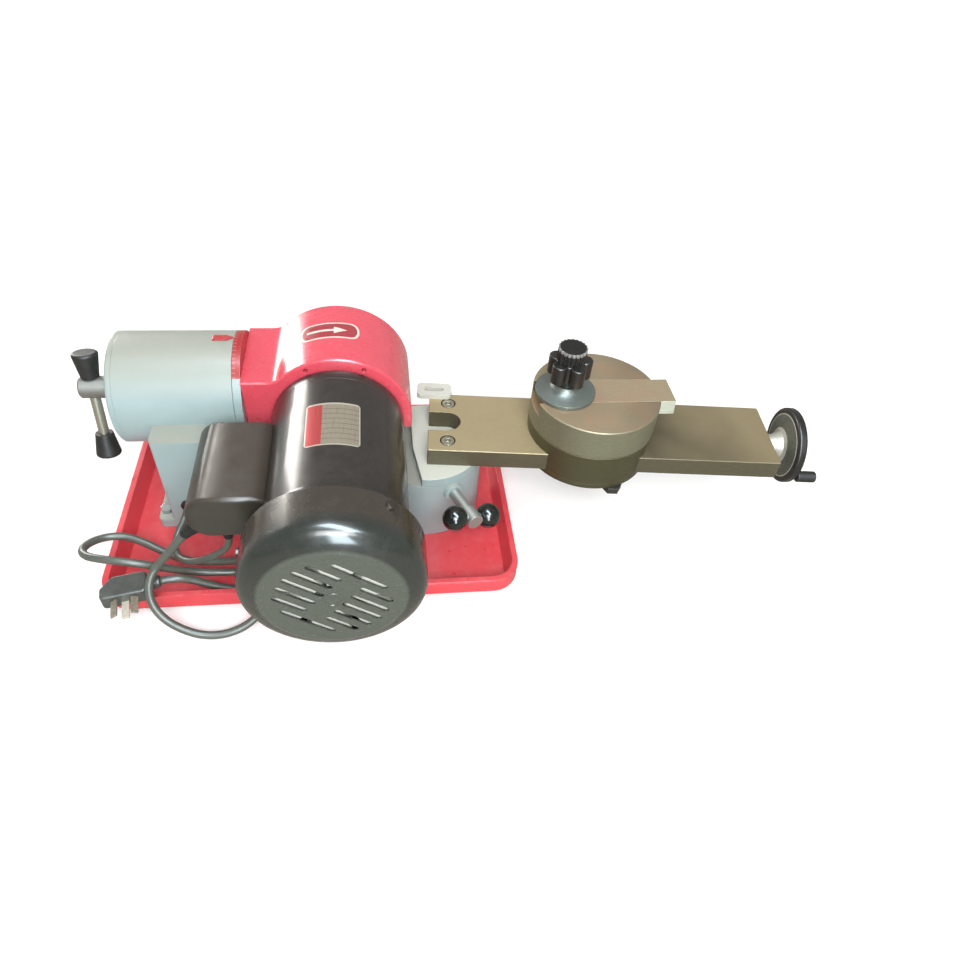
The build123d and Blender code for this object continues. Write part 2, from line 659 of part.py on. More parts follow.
SHAFT_HOLE = SHAFT_RADIUS + AIR
with BuildPart() as motor_flange:
    with BuildSketch(motor_face(GUARD_FRONT)):
        Circle(FLANGE_RADIUS)
    extrude(amount=FLANGE_THICK)
    fillet(edges().sort_by(Axis.Y)[-1], FLANGE_ROUND)
    with BuildSketch(motor_face(GUARD_FRONT + FLANGE_SPIGOT_LENGTH)):
        Circle(FLANGE_SPIGOT - SEAT)
    extrude(amount=FLANGE_SPIGOT_LENGTH)
    with BuildSketch(motor_face(FLANGE_FRONT)):
        Circle(MOTOR_RADIUS - MOTOR_WALL - SEAT)
    extrude(amount=REGISTER)
    with BuildSketch(motor_face(FLANGE_FRONT - REGISTER + BEARING_WIDTH)):
        Circle(BEARING_RADIUS)
    extrude(amount=BEARING_WIDTH, mode=Mode.SUBTRACT)
    with BuildSketch(motor_face(GUARD_FRONT + FLANGE_SPIGOT_LENGTH)):
        Circle(SHAFT_HOLE)
    extrude(amount=FLANGE_SPIGOT_LENGTH + FLANGE_THICK + REGISTER, mode=Mode.SUBTRACT)

SHIELD_FRONT = FRAME_BACK - REAR_SHIELD
LUG_INNER = MOTOR_RADIUS - COVER_LUG
LUG_OUTER = FAN_COVER_RADIUS - FAN_SHEET - AIR
COVER_SCREW_DIRECTIONS = [
    Vector(cos(radians(COVER_SCREW_ANGLE + turn)), 0, sin(radians(COVER_SCREW_ANGLE + turn)))
    for turn in (0, 120, 240)
]
with BuildPart() as rear_shield:
    with BuildSketch(motor_face(FRAME_BACK)):
        Circle(MOTOR_RADIUS)
    extrude(amount=REAR_SHIELD)
    with BuildSketch(motor_face(FRAME_BACK + REGISTER)):
        Circle(MOTOR_RADIUS - MOTOR_WALL - SEAT)
    extrude(amount=REGISTER)
    with BuildSketch(motor_face(FRAME_BACK + REGISTER)):
        Circle(BEARING_RADIUS)
    extrude(amount=BEARING_WIDTH, mode=Mode.SUBTRACT)
    with BuildSketch(motor_face(FRAME_BACK + REGISTER)):
        Circle(SHAFT_HOLE)
    extrude(amount=REGISTER + REAR_SHIELD, mode=Mode.SUBTRACT)
    for out in COVER_SCREW_DIRECTIONS:
        lug_root = Vector(MOTOR_X, SHIELD_FRONT - COVER_LUG / 2, MOTOR_Z) + out * LUG_INNER
        with BuildSketch(Plane(origin=lug_root, x_dir=(0, 1, 0), z_dir=out)):
            Rectangle(COVER_LUG, COVER_LUG)
        extrude(amount=LUG_OUTER - LUG_INNER)
        screw_root = Vector(MOTOR_X, COVER_SCREW_Y, MOTOR_Z) + out * LUG_INNER
        with BuildSketch(Plane(origin=screw_root, x_dir=(0, 1, 0), z_dir=out)):
            Circle(COVER_SCREW_RADIUS / 2)
        extrude(amount=LUG_OUTER - LUG_INNER, mode=Mode.SUBTRACT)

# Bearings
with BuildPart() as motor_bearings:
    for back in (FLANGE_FRONT - REGISTER + BEARING_WIDTH, FRAME_BACK + REGISTER):
        with BuildSketch(motor_face(back)):
            Circle(BEARING_RADIUS - SEAT)
            Circle(SHAFT_RADIUS + RUN, mode=Mode.SUBTRACT)
        extrude(amount=BEARING_WIDTH)

# Stator, rotor and shaft
STATOR_BACK = (FLANGE_FRONT + FRAME_BACK + STATOR_LENGTH) / 2
with BuildPart() as stator:
    with BuildSketch(motor_face(STATOR_BACK)):
        Circle(MOTOR_RADIUS - MOTOR_WALL - SEAT)
        Circle(STATOR_BORE, mode=Mode.SUBTRACT)
    extrude(amount=STATOR_LENGTH)

with BuildPart() as rotor_shaft:
    with BuildSketch(motor_face(SHAFT_BACK)):
        Circle(SHAFT_RADIUS)
    extrude(amount=SHAFT_BACK - SHAFT_FRONT)
    chamfer(edges().filter_by(GeomType.CIRCLE), 1.0)

with BuildPart() as rotor_core:
    with BuildSketch(motor_face(STATOR_BACK)):
        Circle(STATOR_BORE - ROTOR_GAP)
        Circle(SHAFT_RADIUS + SEAT, mode=Mode.SUBTRACT)
    extrude(amount=STATOR_LENGTH)

# Cooling fan: a disc with straight blades
FAN_HUB = SHAFT_RADIUS + FAN_HUB_WALL
FAN_BACK = SHAFT_FRONT + FAN_DEPTH
with BuildPart() as cooling_fan:
    with BuildSketch(motor_face(FAN_BACK)):
        Circle(FAN_RADIUS)
    extrude(amount=FAN_BLADE_THICK)
    with BuildSketch(motor_face(FAN_BACK)):
        Circle(FAN_HUB)
        with PolarLocations((FAN_HUB + FAN_RADIUS) / 2 - FAN_BLADE_THICK, FAN_BLADES):
            Rectangle(FAN_RADIUS - FAN_HUB, FAN_BLADE_THICK)
    extrude(amount=FAN_DEPTH)
    with BuildSketch(motor_face(FAN_BACK)):
        Circle(SHAFT_RADIUS + SEAT)
    extrude(amount=FAN_DEPTH, mode=Mode.SUBTRACT)

# Fan cover: a spun bell with slanting air slots in its face
with BuildPart() as fan_cover:
    with BuildSketch(MOTOR_PROFILE):
        with BuildLine():
            cover_face = Line((0, FAN_FACE_Y), (FAN_FACE_RADIUS, FAN_FACE_Y))
            cover_side = Line(
                (FAN_COVER_RADIUS, FAN_FACE_Y + FAN_ROUND), (FAN_COVER_RADIUS, FAN_SHOULDER_Y)
            )
            Spline(
                (FAN_FACE_RADIUS, FAN_FACE_Y),
                (FAN_COVER_RADIUS, FAN_FACE_Y + FAN_ROUND),
                tangents=((1, 0.35), (0, 1)),
            )
            Polyline(
                (FAN_COVER_RADIUS, FAN_SHOULDER_Y),
                (MOTOR_RADIUS + FAN_SHEET + AIR, FAN_RIM_Y),
                (0, FAN_RIM_Y),
                (0, FAN_FACE_Y),
            )
        make_face()
    revolve(axis=MOTOR_AXIS)
    with BuildSketch(MOTOR_PROFILE):
        with BuildLine():
            Line((0, FAN_FACE_Y + FAN_SHEET), (FAN_FACE_RADIUS - FAN_SHEET, FAN_FACE_Y + FAN_SHEET))
            Spline(
                (FAN_FACE_RADIUS - FAN_SHEET, FAN_FACE_Y + FAN_SHEET),
                (FAN_COVER_RADIUS - FAN_SHEET, FAN_FACE_Y + FAN_ROUND),
                tangents=((1, 0.35), (0, 1)),
            )
            Polyline(
                (FAN_COVER_RADIUS - FAN_SHEET, FAN_FACE_Y + FAN_ROUND),
                (FAN_COVER_RADIUS - FAN_SHEET, FAN_SHOULDER_Y),
                (MOTOR_RADIUS + AIR, FAN_RIM_Y - FAN_SHEET),
                (MOTOR_RADIUS + AIR, FAN_RIM_Y + FAN_SHEET),
                (0, FAN_RIM_Y + FAN_SHEET),
                (0, FAN_FACE_Y + FAN_SHEET),
            )
        make_face()
    revolve(axis=MOTOR_AXIS, mode=Mode.SUBTRACT)
    with BuildSketch(motor_face(FAN_FACE_Y + FAN_SHEET)):
        for row in range(-3, 4):
            offset_row = row * SLOT_PITCH
            reach = sqrt(SLOT_FIELD**2 - offset_row**2)
            spans = [(-SLOT_LAST_REACH, SLOT_LAST_REACH)]
            if abs(row) < 3:
                spans = [(-reach, -SLOT_GAP), (SLOT_GAP, reach)]
            for start, end in spans:
                middle = Vector((start + end) / 2, offset_row, 0).rotate(Axis.Z, SLOT_LEAN)
                with Locations(Location((middle.X, middle.Y, 0), (0, 0, SLOT_LEAN))):
                    SlotOverall(end - start, SLOT_WIDTH)
    extrude(amount=FAN_SHEET, mode=Mode.SUBTRACT)
    for out in COVER_SCREW_DIRECTIONS:
        seat = Vector(MOTOR_X, COVER_SCREW_Y, MOTOR_Z) + out * MOTOR_RADIUS
        with BuildSketch(Plane(origin=seat, x_dir=(0, 1, 0), z_dir=out)):
            Circle(COVER_SCREW_RADIUS / 2 + SEAT)
        extrude(amount=FAN_COVER_RADIUS - MOTOR_RADIUS + FAN_SHEET, mode=Mode.SUBTRACT)

with BuildPart() as fan_cover_screws:
    for out in COVER_SCREW_DIRECTIONS:
        seat = Vector(MOTOR_X, COVER_SCREW_Y, MOTOR_Z) + out * (MOTOR_RADIUS + FAN_SHEET)
        head_seat = Vector(MOTOR_X, COVER_SCREW_Y, MOTOR_Z) + out * FAN_COVER_RADIUS
        with BuildSketch(Plane(origin=seat, x_dir=(0, 1, 0), z_dir=out)):
            Circle(COVER_SCREW_RADIUS / 2 - SEAT)
        extrude(amount=FAN_COVER_RADIUS - MOTOR_RADIUS - FAN_SHEET)
        with BuildSketch(Plane(origin=head_seat, x_dir=(0, 1, 0), z_dir=out)):
            Circle(COVER_SCREW_RADIUS)
        extrude(amount=COVER_SCREW_RADIUS / 2)

# Terminal box: a deep drawn cover that sits on the motor's side
BOX_X = (BOX_LEFT + BOX_RIGHT) / 2
BOX_Z = (BOX_TOP + BOX_BOTTOM) / 2
gland_lean = radians(CORD_GLAND_LEAN)
CORD_OUT = Vector(-sin(gland_lean), 0, -cos(gland_lean))
LEAD_OUT = Vector(0, 0, -1)
BOX_CORNER = Vector(BOX_LEFT + BOX_ROUND, CORD_GLAND_Y, BOX_BOTTOM + BOX_ROUND)
CORD_SEAT = BOX_CORNER + CORD_OUT * (BOX_ROUND - GLAND_SINK)
LEAD_SEAT = Vector(LEAD_GLAND_X, LEAD_GLAND_Y, BOX_BOTTOM)
GLANDS = [(CORD_SEAT, CORD_OUT, CORD_DIAMETER / 2), (LEAD_SEAT, LEAD_OUT, LEAD_DIAMETER / 2)]
with BuildPart() as terminal_box:
    with BuildSketch(facing(BOX_BACK)):
        with Locations((BOX_X, BOX_Z)):
            RectangleRounded(BOX_RIGHT - BOX_LEFT, BOX_TOP - BOX_BOTTOM, BOX_ROUND)
    extrude(amount=BOX_BACK - BOX_FRONT)
    fillet(faces().filter_by(Axis.Y).edges(), BOX_EDGE)
    with BuildSketch(facing(BOX_BACK - BOX_WALL)):
        with Locations((BOX_X, BOX_Z)):
            RectangleRounded(
                BOX_RIGHT - BOX_LEFT - 2 * BOX_WALL, BOX_TOP - BOX_BOTTOM - 2 * BOX_WALL, BOX_ROUND - BOX_WALL
            )
    extrude(amount=BOX_BACK - BOX_FRONT - 2 * BOX_WALL, mode=Mode.SUBTRACT)
    with BuildSketch(motor_face(BOX_BACK)):
        Circle(MOTOR_RADIUS + SEAT)
    extrude(amount=BOX_BACK - BOX_FRONT, mode=Mode.SUBTRACT)
    for seat, out, bore in GLANDS:
        with BuildSketch(Plane(origin=seat, x_dir=(0, 1, 0), z_dir=out)):
            Circle(GLAND_TOP_RADIUS + SEAT)
        extrude(amount=GLAND_LENGTH, mode=Mode.SUBTRACT)
        with BuildSketch(Plane(origin=seat, x_dir=(0, 1, 0), z_dir=-out)):
            Circle(GLAND_TIP_RADIUS)
        extrude(amount=2 * BOX_WALL, mode=Mode.SUBTRACT)

with BuildPart() as capacitor:
    with BuildSketch(facing(BOX_BACK - 2 * BOX_WALL)):
        with Locations((CAPACITOR_X, BOX_BOTTOM + BOX_WALL + CAPACITOR_RADIUS + SEAT)):
            Circle(CAPACITOR_RADIUS)
    extrude(amount=CAPACITOR_LENGTH)
    chamfer(edges().filter_by(GeomType.CIRCLE), 1.5)

# Cable glands: tapered sleeves, one on the box's lower corner and one under the box
with BuildPart() as cable_glands:
    for seat, out, bore in GLANDS:
        with BuildSketch(Plane(origin=seat, x_dir=(0, 1, 0), z_dir=Vector(0, 1, 0).cross(out))):
            with BuildLine():
                Polyline(
                    (bore, GLAND_LENGTH),
                    (GLAND_TIP_RADIUS, GLAND_LENGTH),
                    (GLAND_TOP_RADIUS, BOX_WALL),
                    (GLAND_TOP_RADIUS, 0),
                    (GLAND_TIP_RADIUS - SEAT, 0),
                    (GLAND_TIP_RADIUS - SEAT, -BOX_WALL),
                    (bore, -BOX_WALL),
                    close=True,
                )
            make_face()
        revolve(axis=Axis(seat, out))

# Grinding wheel between its flanges
with BuildPart() as grinding_wheel:
    with BuildSketch(motor_face(WHEEL_Y + WHEEL_WIDTH / 2)):
        Circle(WHEEL_RADIUS)
        Circle(WHEEL_BORE, mode=Mode.SUBTRACT)
    extrude(amount=WHEEL_WIDTH)

with BuildPart() as wheel_flanges:
    for back in (WHEEL_Y - WHEEL_WIDTH / 2, WHEEL_Y + WHEEL_WIDTH / 2 + WHEEL_FLANGE):
        with BuildSketch(motor_face(back)):
            Circle(WHEEL_FLANGE_RADIUS)
            Circle(SHAFT_RADIUS + SEAT, mode=Mode.SUBTRACT)
        extrude(amount=WHEEL_FLANGE)
    with BuildSketch(motor_face(WHEEL_Y + WHEEL_WIDTH / 2)):
        Circle(WHEEL_BORE - SEAT)
        Circle(SHAFT_RADIUS + SEAT, mode=Mode.SUBTRACT)
    extrude(amount=WHEEL_WIDTH / 2)

with BuildPart() as wheel_nut:
    with BuildSketch(motor_face(WHEEL_Y + WHEEL_WIDTH / 2 + WHEEL_FLANGE + WHEEL_NUT)):
        RegularPolygon(WHEEL_NUT_RADIUS, 6)
        Circle(SHAFT_RADIUS + SEAT, mode=Mode.SUBTRACT)
    extrude(amount=WHEEL_NUT)

# Arm pedestal with its clamp boss
CLAMP_OUT = Vector(cos(radians(CLAMP_ANGLE)), sin(radians(CLAMP_ANGLE)), 0)
CLAMP_SIDE = Vector(-CLAMP_OUT.Y, CLAMP_OUT.X, 0)
CLAMP_AXLE = Vector(SWIVEL_X, SWIVEL_Y, CLAMP_Z)


def clamp_plane(reach):
    """Plane across the clamp screw at a distance from the swivel's axis."""
    return Plane(origin=CLAMP_AXLE + CLAMP_OUT * reach, x_dir=CLAMP_SIDE, z_dir=CLAMP_OUT)


with BuildPart() as arm_pedestal:
    with BuildSketch(swivel_plane(FLOOR)):
        Circle(PEDESTAL_RADIUS)
        with Locations((-(PEDESTAL_RELIEF + PEDESTAL_RADIUS) / 2, 0)):
            Rectangle(PEDESTAL_RADIUS - PEDESTAL_RELIEF, 2 * PEDESTAL_RADIUS, mode=Mode.SUBTRACT)
    extrude(amount=PEDESTAL_TOP - FLOOR)
    with BuildSketch(swivel_plane(FLOOR)):
        Circle(PEDESTAL_RADIUS)
    extrude(amount=PEDESTAL_LUG_HEIGHT)
    with BuildSketch(Plane.XY.offset(FLOOR)):
        with Locations(*PEDESTAL_BOLTS):
            Circle(PEDESTAL_LUG)
    extrude(amount=PEDESTAL_LUG_HEIGHT)
    with BuildSketch(clamp_plane(PIVOT_RADIUS)):
        Circle(CLAMP_BOSS_RADIUS)
    extrude(amount=PEDESTAL_RADIUS + CLAMP_BOSS - PIVOT_RADIUS)
    with BuildSketch(clamp_plane(0)):
        Circle(CLAMP_SCREW_RADIUS + RUN)
    extrude(amount=PEDESTAL_RADIUS + CLAMP_BOSS, mode=Mode.SUBTRACT)
    with BuildSketch(swivel_plane(PIVOT_BOTTOM - AIR)):
        Circle(PIVOT_RADIUS + RUN)
    extrude(amount=PEDESTAL_TOP - PIVOT_BOTTOM + AIR, mode=Mode.SUBTRACT)
    with BuildSketch(Plane.XY.offset(FLOOR)):
        with Locations(*PEDESTAL_BOLTS):
            Circle(BOLT_HOLE)
    extrude(amount=PEDESTAL_LUG_HEIGHT, mode=Mode.SUBTRACT)

# Swivel plate under the rail, turning on a pin in the pedestal
RAIL_SCREWS = [(RAIL_START + RAIL_SCREW_INSET, side * RAIL_SCREW_SPACING / 2) for side in (-1, 1)]
PLATE_BOTTOM = PEDESTAL_TOP + AIR
PIVOT_TOP = RAIL_BOTTOM - PIVOT_COVER
with BuildPart() as swivel_plate:
    with BuildSketch(swivel_plane(PLATE_BOTTOM)):
        Circle(PEDESTAL_RADIUS)
        with BuildLine():
            Polyline(
                (-SWIVEL_RELIEF, PEDESTAL_RADIUS),
                (-SWIVEL_RELIEF, SWIVEL_KINK),
                (-SWIVEL_RELIEF_FRONT, -PEDESTAL_RADIUS),
                (-PEDESTAL_RADIUS, -PEDESTAL_RADIUS),
                (-PEDESTAL_RADIUS, PEDESTAL_RADIUS),
                close=True,
            )
        make_face(mode=Mode.SUBTRACT)
    extrude(amount=RAIL_BOTTOM - PLATE_BOTTOM)
    with BuildSketch(swivel_plane(PLATE_BOTTOM)):
        Circle(PIVOT_RADIUS)
    extrude(amount=PIVOT_TOP - PLATE_BOTTOM, mode=Mode.SUBTRACT)
    with BuildSketch(arm_plane(RAIL_BOTTOM - RAIL_SCREW_DEPTH)):
        with Locations(*RAIL_SCREWS):
            Circle(RAIL_SCREW_RADIUS)
    extrude(amount=RAIL_SCREW_DEPTH, mode=Mode.SUBTRACT)

with BuildPart() as swivel_pivot:
    with BuildSketch(swivel_plane(PIVOT_BOTTOM)):
        Circle(PIVOT_RADIUS - SEAT)
    extrude(amount=PIVOT_TOP - PIVOT_BOTTOM)

# Rail: a flat bar with an open slot at the swivel and a screw groove underneath
RAIL_MIDDLE = RAIL_START + RAIL_LENGTH / 2
SLOT_CENTRE = RAIL_START + RAIL_SLOT_DEPTH - RAIL_SLOT_WIDTH / 2
GROOVE_LENGTH = RAIL_END - GROOVE_END_WALL - GROOVE_START
with BuildPart() as arm_rail:
    with BuildSketch(arm_plane(RAIL_BOTTOM)):
        with Locations((RAIL_MIDDLE, 0)):
            Rectangle(RAIL_LENGTH, RAIL_WIDTH)
    extrude(amount=RAIL_THICK)
    chamfer(edges().filter_by(Axis.Z), RAIL_EDGE)
    chamfer(faces().sort_by(Axis.Z)[-1].edges(), RAIL_EDGE / 2)
    with BuildSketch(arm_plane(RAIL_BOTTOM)):
        with Locations((SLOT_CENTRE, 0)):
            Circle(RAIL_SLOT_WIDTH / 2)
        with Locations(((SLOT_CENTRE + RAIL_START) / 2, 0)):
            Rectangle(SLOT_CENTRE - RAIL_START, RAIL_SLOT_WIDTH)
    extrude(amount=RAIL_THICK, mode=Mode.SUBTRACT)
    with BuildSketch(arm_plane(RAIL_BOTTOM)):
        with Locations((GROOVE_START + GROOVE_LENGTH / 2, 0)):
            Rectangle(GROOVE_LENGTH, GROOVE_WIDTH)
    extrude(amount=GROOVE_DEPTH, mode=Mode.SUBTRACT)
    with BuildSketch(rail_section(GROOVE_START - LEAD_JOURNAL)):
        Circle(LEAD_RADIUS + RUN)
    extrude(amount=LEAD_JOURNAL + RUN, mode=Mode.SUBTRACT)
    with BuildSketch(rail_section(RAIL_END - GROOVE_END_WALL)):
        Circle(LEAD_RADIUS + RUN)
    extrude(amount=GROOVE_END_WALL, mode=Mode.SUBTRACT)
    with BuildSketch(arm_plane(RAIL_BOTTOM)):
        with Locations(*RAIL_SCREWS):
            Circle(RAIL_SCREW_RADIUS + SEAT)
    extrude(amount=RAIL_THICK, mode=Mode.SUBTRACT)
    with BuildSketch(arm_plane(RAIL_TOP - RAIL_SCREW_HEAD_HEIGHT)):
        with Locations(*RAIL_SCREWS):
            Circle(COUNTERBORE)
    extrude(amount=RAIL_SCREW_HEAD_HEIGHT, mode=Mode.SUBTRACT)

with BuildPart() as rail_screws:
    with BuildSketch(arm_plane(RAIL_BOTTOM - RAIL_SCREW_DEPTH)):
        with Locations(*RAIL_SCREWS):
            Circle(RAIL_SCREW_RADIUS - SEAT)
    extrude(amount=RAIL_SCREW_DEPTH + RAIL_THICK - RAIL_SCREW_HEAD_HEIGHT)
    with BuildSketch(arm_plane(RAIL_TOP - RAIL_SCREW_HEAD_HEIGHT)):
        with Locations(*RAIL_SCREWS):
            Circle(RAIL_SCREW_HEAD)
    extrude(amount=RAIL_SCREW_HEAD_HEIGHT - AIR)
    with BuildSketch(arm_plane(RAIL_TOP - RAIL_SCREW_HEAD_HEIGHT / 2)):
        with Locations(*RAIL_SCREWS):
            RegularPolygon(RAIL_SCREW_SOCKET, 6)
    extrude(amount=RAIL_SCREW_HEAD_HEIGHT, mode=Mode.SUBTRACT)

# Tooth stop: an angle piece on the rail's rear corner with an adjusting slot
STOP_MIDDLE = STOP_START + STOP_LENGTH / 2
STOP_END = STOP_START + STOP_LENGTH
STOP_FRONT = RAIL_WIDTH / 2 - STOP_OVERLAP
with BuildPart() as tooth_stop:
    with BuildSketch(arm_plane(RAIL_TOP)):
        with Locations((STOP_MIDDLE, STOP_FRONT + STOP_WIDTH / 2)):
            RectangleRounded(STOP_LENGTH, STOP_WIDTH, STOP_WIDTH / 4)
            SlotOverall(STOP_SLOT_LENGTH, STOP_SLOT_WIDTH, mode=Mode.SUBTRACT)
    extrude(amount=STOP_THICK)
    with BuildSketch(arm_plane(RAIL_TOP - STOP_LEG)):
        with Locations(((RAIL_START + STOP_END) / 2 + RAIL_EDGE, (RAIL_WIDTH + STOP_THICK) / 2)):
            Rectangle(STOP_END - RAIL_START, STOP_THICK)
    extrude(amount=STOP_LEG)

# Swivel clamp: a screw with a cross bar and two ball knobs
CLAMP_HUB = CLAMP_AXLE + CLAMP_OUT * CLAMP_REACH
clamp_lean = radians(CLAMP_BAR_LEAN)
CLAMP_BAR = CLAMP_SIDE * cos(clamp_lean) + Vector(0, 0, 1) * sin(clamp_lean)
with BuildPart() as clamp_lever:
    with BuildSketch(clamp_plane(PIVOT_RADIUS + AIR)):
        Circle(CLAMP_SCREW_RADIUS)
    extrude(amount=CLAMP_REACH - PIVOT_RADIUS - AIR)
    with BuildSketch(clamp_plane(CLAMP_REACH - CLAMP_HUB_RADIUS)):
        Circle(CLAMP_HUB_RADIUS)
    extrude(amount=2 * CLAMP_HUB_RADIUS)
    with BuildSketch(Plane(origin=CLAMP_HUB, x_dir=CLAMP_OUT, z_dir=CLAMP_BAR)):
        Circle(CLAMP_BAR_RADIUS)
    extrude(amount=CLAMP_BAR_HALF, both=True)

with BuildPart() as clamp_knobs:
    with Locations(*[CLAMP_HUB + CLAMP_BAR * (side * CLAMP_BAR_HALF) for side in (-1, 1)]):
        Sphere(CLAMP_BALL_RADIUS)
    with BuildSketch(Plane(origin=CLAMP_HUB, x_dir=CLAMP_OUT, z_dir=CLAMP_BAR)):
        Circle(CLAMP_BAR_RADIUS + SEAT)
    extrude(amount=CLAMP_BAR_HALF, both=True, mode=Mode.SUBTRACT)

# Lead screw, with the handwheel on its outer end
HANDWHEEL_START = RAIL_END + HANDWHEEL_GAP
HANDWHEEL_END = HANDWHEEL_START + HANDWHEEL_HUB
with BuildPart() as lead_screw:
    with BuildSketch(rail_section(GROOVE_START - LEAD_JOURNAL + RUN)):
        Circle(LEAD_RADIUS)
    extrude(amount=HANDWHEEL_END - GROOVE_START + LEAD_JOURNAL - RUN)

HANDWHEEL_PROFILE = rail_section(0)
RIM_INNER = HANDWHEEL_RADIUS - HANDWHEEL_RIM
WEB_PLANE = Plane(origin=HANDWHEEL_PROFILE.origin, x_dir=(0, 0, 1), z_dir=ARM_DIR.cross(Vector(0, 0, 1)) * -1)
HANDWHEEL_AXIS = Axis(HANDWHEEL_PROFILE.origin, ARM_DIR)
with BuildPart() as handwheel_web:
    with BuildSketch(WEB_PLANE):
        with BuildLine():
            Polyline(
                (LEAD_RADIUS + SEAT, HANDWHEEL_START),
                (HANDWHEEL_HUB_RADIUS, HANDWHEEL_START),
                (HANDWHEEL_HUB_RADIUS + HANDWHEEL_WEB, HANDWHEEL_END - HANDWHEEL_RIM_DEPTH - HANDWHEEL_WEB),
                (RIM_INNER - SEAT, HANDWHEEL_END - HANDWHEEL_RIM_DEPTH),
                (RIM_INNER - SEAT, HANDWHEEL_END - HANDWHEEL_WEB),
                (HANDWHEEL_HUB_RADIUS + HANDWHEEL_WEB, HANDWHEEL_END - HANDWHEEL_WEB),
                (HANDWHEEL_HUB_RADIUS, HANDWHEEL_END),
                (LEAD_RADIUS + SEAT, HANDWHEEL_END),
                close=True,
            )
        make_face()
    revolve(axis=HANDWHEEL_AXIS)

with BuildPart() as handwheel_rim:
    with BuildSketch(rail_section(HANDWHEEL_END - HANDWHEEL_RIM_DEPTH)):
        Circle(HANDWHEEL_RADIUS)
        Circle(RIM_INNER, mode=Mode.SUBTRACT)
    extrude(amount=HANDWHEEL_RIM_DEPTH)
    fillet(edges().filter_by(GeomType.CIRCLE).group_by(SortBy.RADIUS)[-1], HANDWHEEL_RIM / 2.5)
    grip_turn = radians(GRIP_ANGLE)
    GRIP_CIRCLE = HANDWHEEL_RADIUS - HANDWHEEL_RIM / 2
    GRIP_PLACE = (GRIP_CIRCLE * cos(grip_turn), GRIP_CIRCLE * sin(grip_turn))
    with BuildSketch(rail_section(HANDWHEEL_END - HANDWHEEL_RIM_DEPTH / 2)):
        with Locations(GRIP_PLACE):
            Circle(GRIP_PIN_RADIUS)
    extrude(amount=HANDWHEEL_RIM_DEPTH / 2 + GRIP_LENGTH - GRIP_PIN_RADIUS)

with BuildPart() as handwheel_grip:
    with BuildSketch(rail_section(HANDWHEEL_END + AIR)):
        with Locations(GRIP_PLACE):
            Circle(GRIP_RADIUS)
    extrude(amount=GRIP_LENGTH)
    fillet(edges().filter_by(GeomType.CIRCLE), 1.5)
    with BuildSketch(rail_section(HANDWHEEL_END + AIR)):
        with Locations(GRIP_PLACE):
            Circle(GRIP_PIN_RADIUS + RUN)
    extrude(amount=GRIP_LENGTH - GRIP_PIN_RADIUS, mode=Mode.SUBTRACT)

# Slide: a round body over the rail, closed underneath by a keeper plate
SLIDE_BOTTOM = RAIL_BOTTOM - SLIDE_CLEAR
FLAT_MIDDLE = (SLIDE_FLAT + SLIDE_RADIUS) / 2
with BuildPart() as slide_body:
    with BuildSketch(slide_plane(SLIDE_BOTTOM)):
        Circle(SLIDE_RADIUS)
        with Locations((FLAT_MIDDLE, 0)):
            Rectangle(SLIDE_RADIUS - SLIDE_FLAT, 2 * SLIDE_RADIUS, mode=Mode.SUBTRACT)
    extrude(amount=SLIDE_TOP - SLIDE_BOTTOM)
    with BuildSketch(slide_plane(SLIDE_TOP)):
        Circle(TURNTABLE_PIVOT)
    extrude(amount=TURNTABLE_PIVOT_HEIGHT)
    with BuildSketch(slide_plane(SLIDE_BOTTOM)):
        Rectangle(2 * SLIDE_RADIUS, RAIL_WIDTH + 2 * SLIDE_CLEAR)
    extrude(amount=RAIL_THICK + 2 * SLIDE_CLEAR, mode=Mode.SUBTRACT)

with BuildPart() as slide_keeper:
    with BuildSketch(slide_plane(SLIDE_BOTTOM - KEEPER_THICK)):
        Circle(SLIDE_RADIUS)
        with Locations((FLAT_MIDDLE, 0)):
            Rectangle(SLIDE_RADIUS - SLIDE_FLAT, 2 * SLIDE_RADIUS, mode=Mode.SUBTRACT)
        with Locations((LOCK_X, LOCK_Y)):
            Circle(LOCK_SHANK, mode=Mode.SUBTRACT)
    extrude(amount=KEEPER_THICK)

with BuildPart() as lead_nut:
    with BuildSketch(slide_plane(SLIDE_BOTTOM)):
        Rectangle(LEAD_NUT_LENGTH, LEAD_NUT_WIDTH)
    extrude(amount=LEAD_NUT_HEIGHT)
    with BuildSketch(rail_section(SLIDE_POSITION - LEAD_NUT_LENGTH / 2)):
        Circle(LEAD_RADIUS + RUN)
    extrude(amount=LEAD_NUT_LENGTH, mode=Mode.SUBTRACT)

with BuildPart() as slide_lock_screw:
    with BuildSketch(slide_plane(SLIDE_BOTTOM - KEEPER_THICK - LOCK_HEAD)):
        with Locations((LOCK_X, LOCK_Y)):
            RegularPolygon(LOCK_RADIUS, 6)
    extrude(amount=LOCK_HEAD)
    with BuildSketch(slide_plane(SLIDE_BOTTOM - KEEPER_THICK)):
        with Locations((LOCK_X, LOCK_Y)):
            Circle(LOCK_SHANK - SEAT)
    extrude(amount=KEEPER_THICK)

# Turntable with a dovetail way for the blade bar
TURNTABLE_BOTTOM = SLIDE_TOP + AIR
BAR_SEAT = SEAT_TOP - BAR_THICK


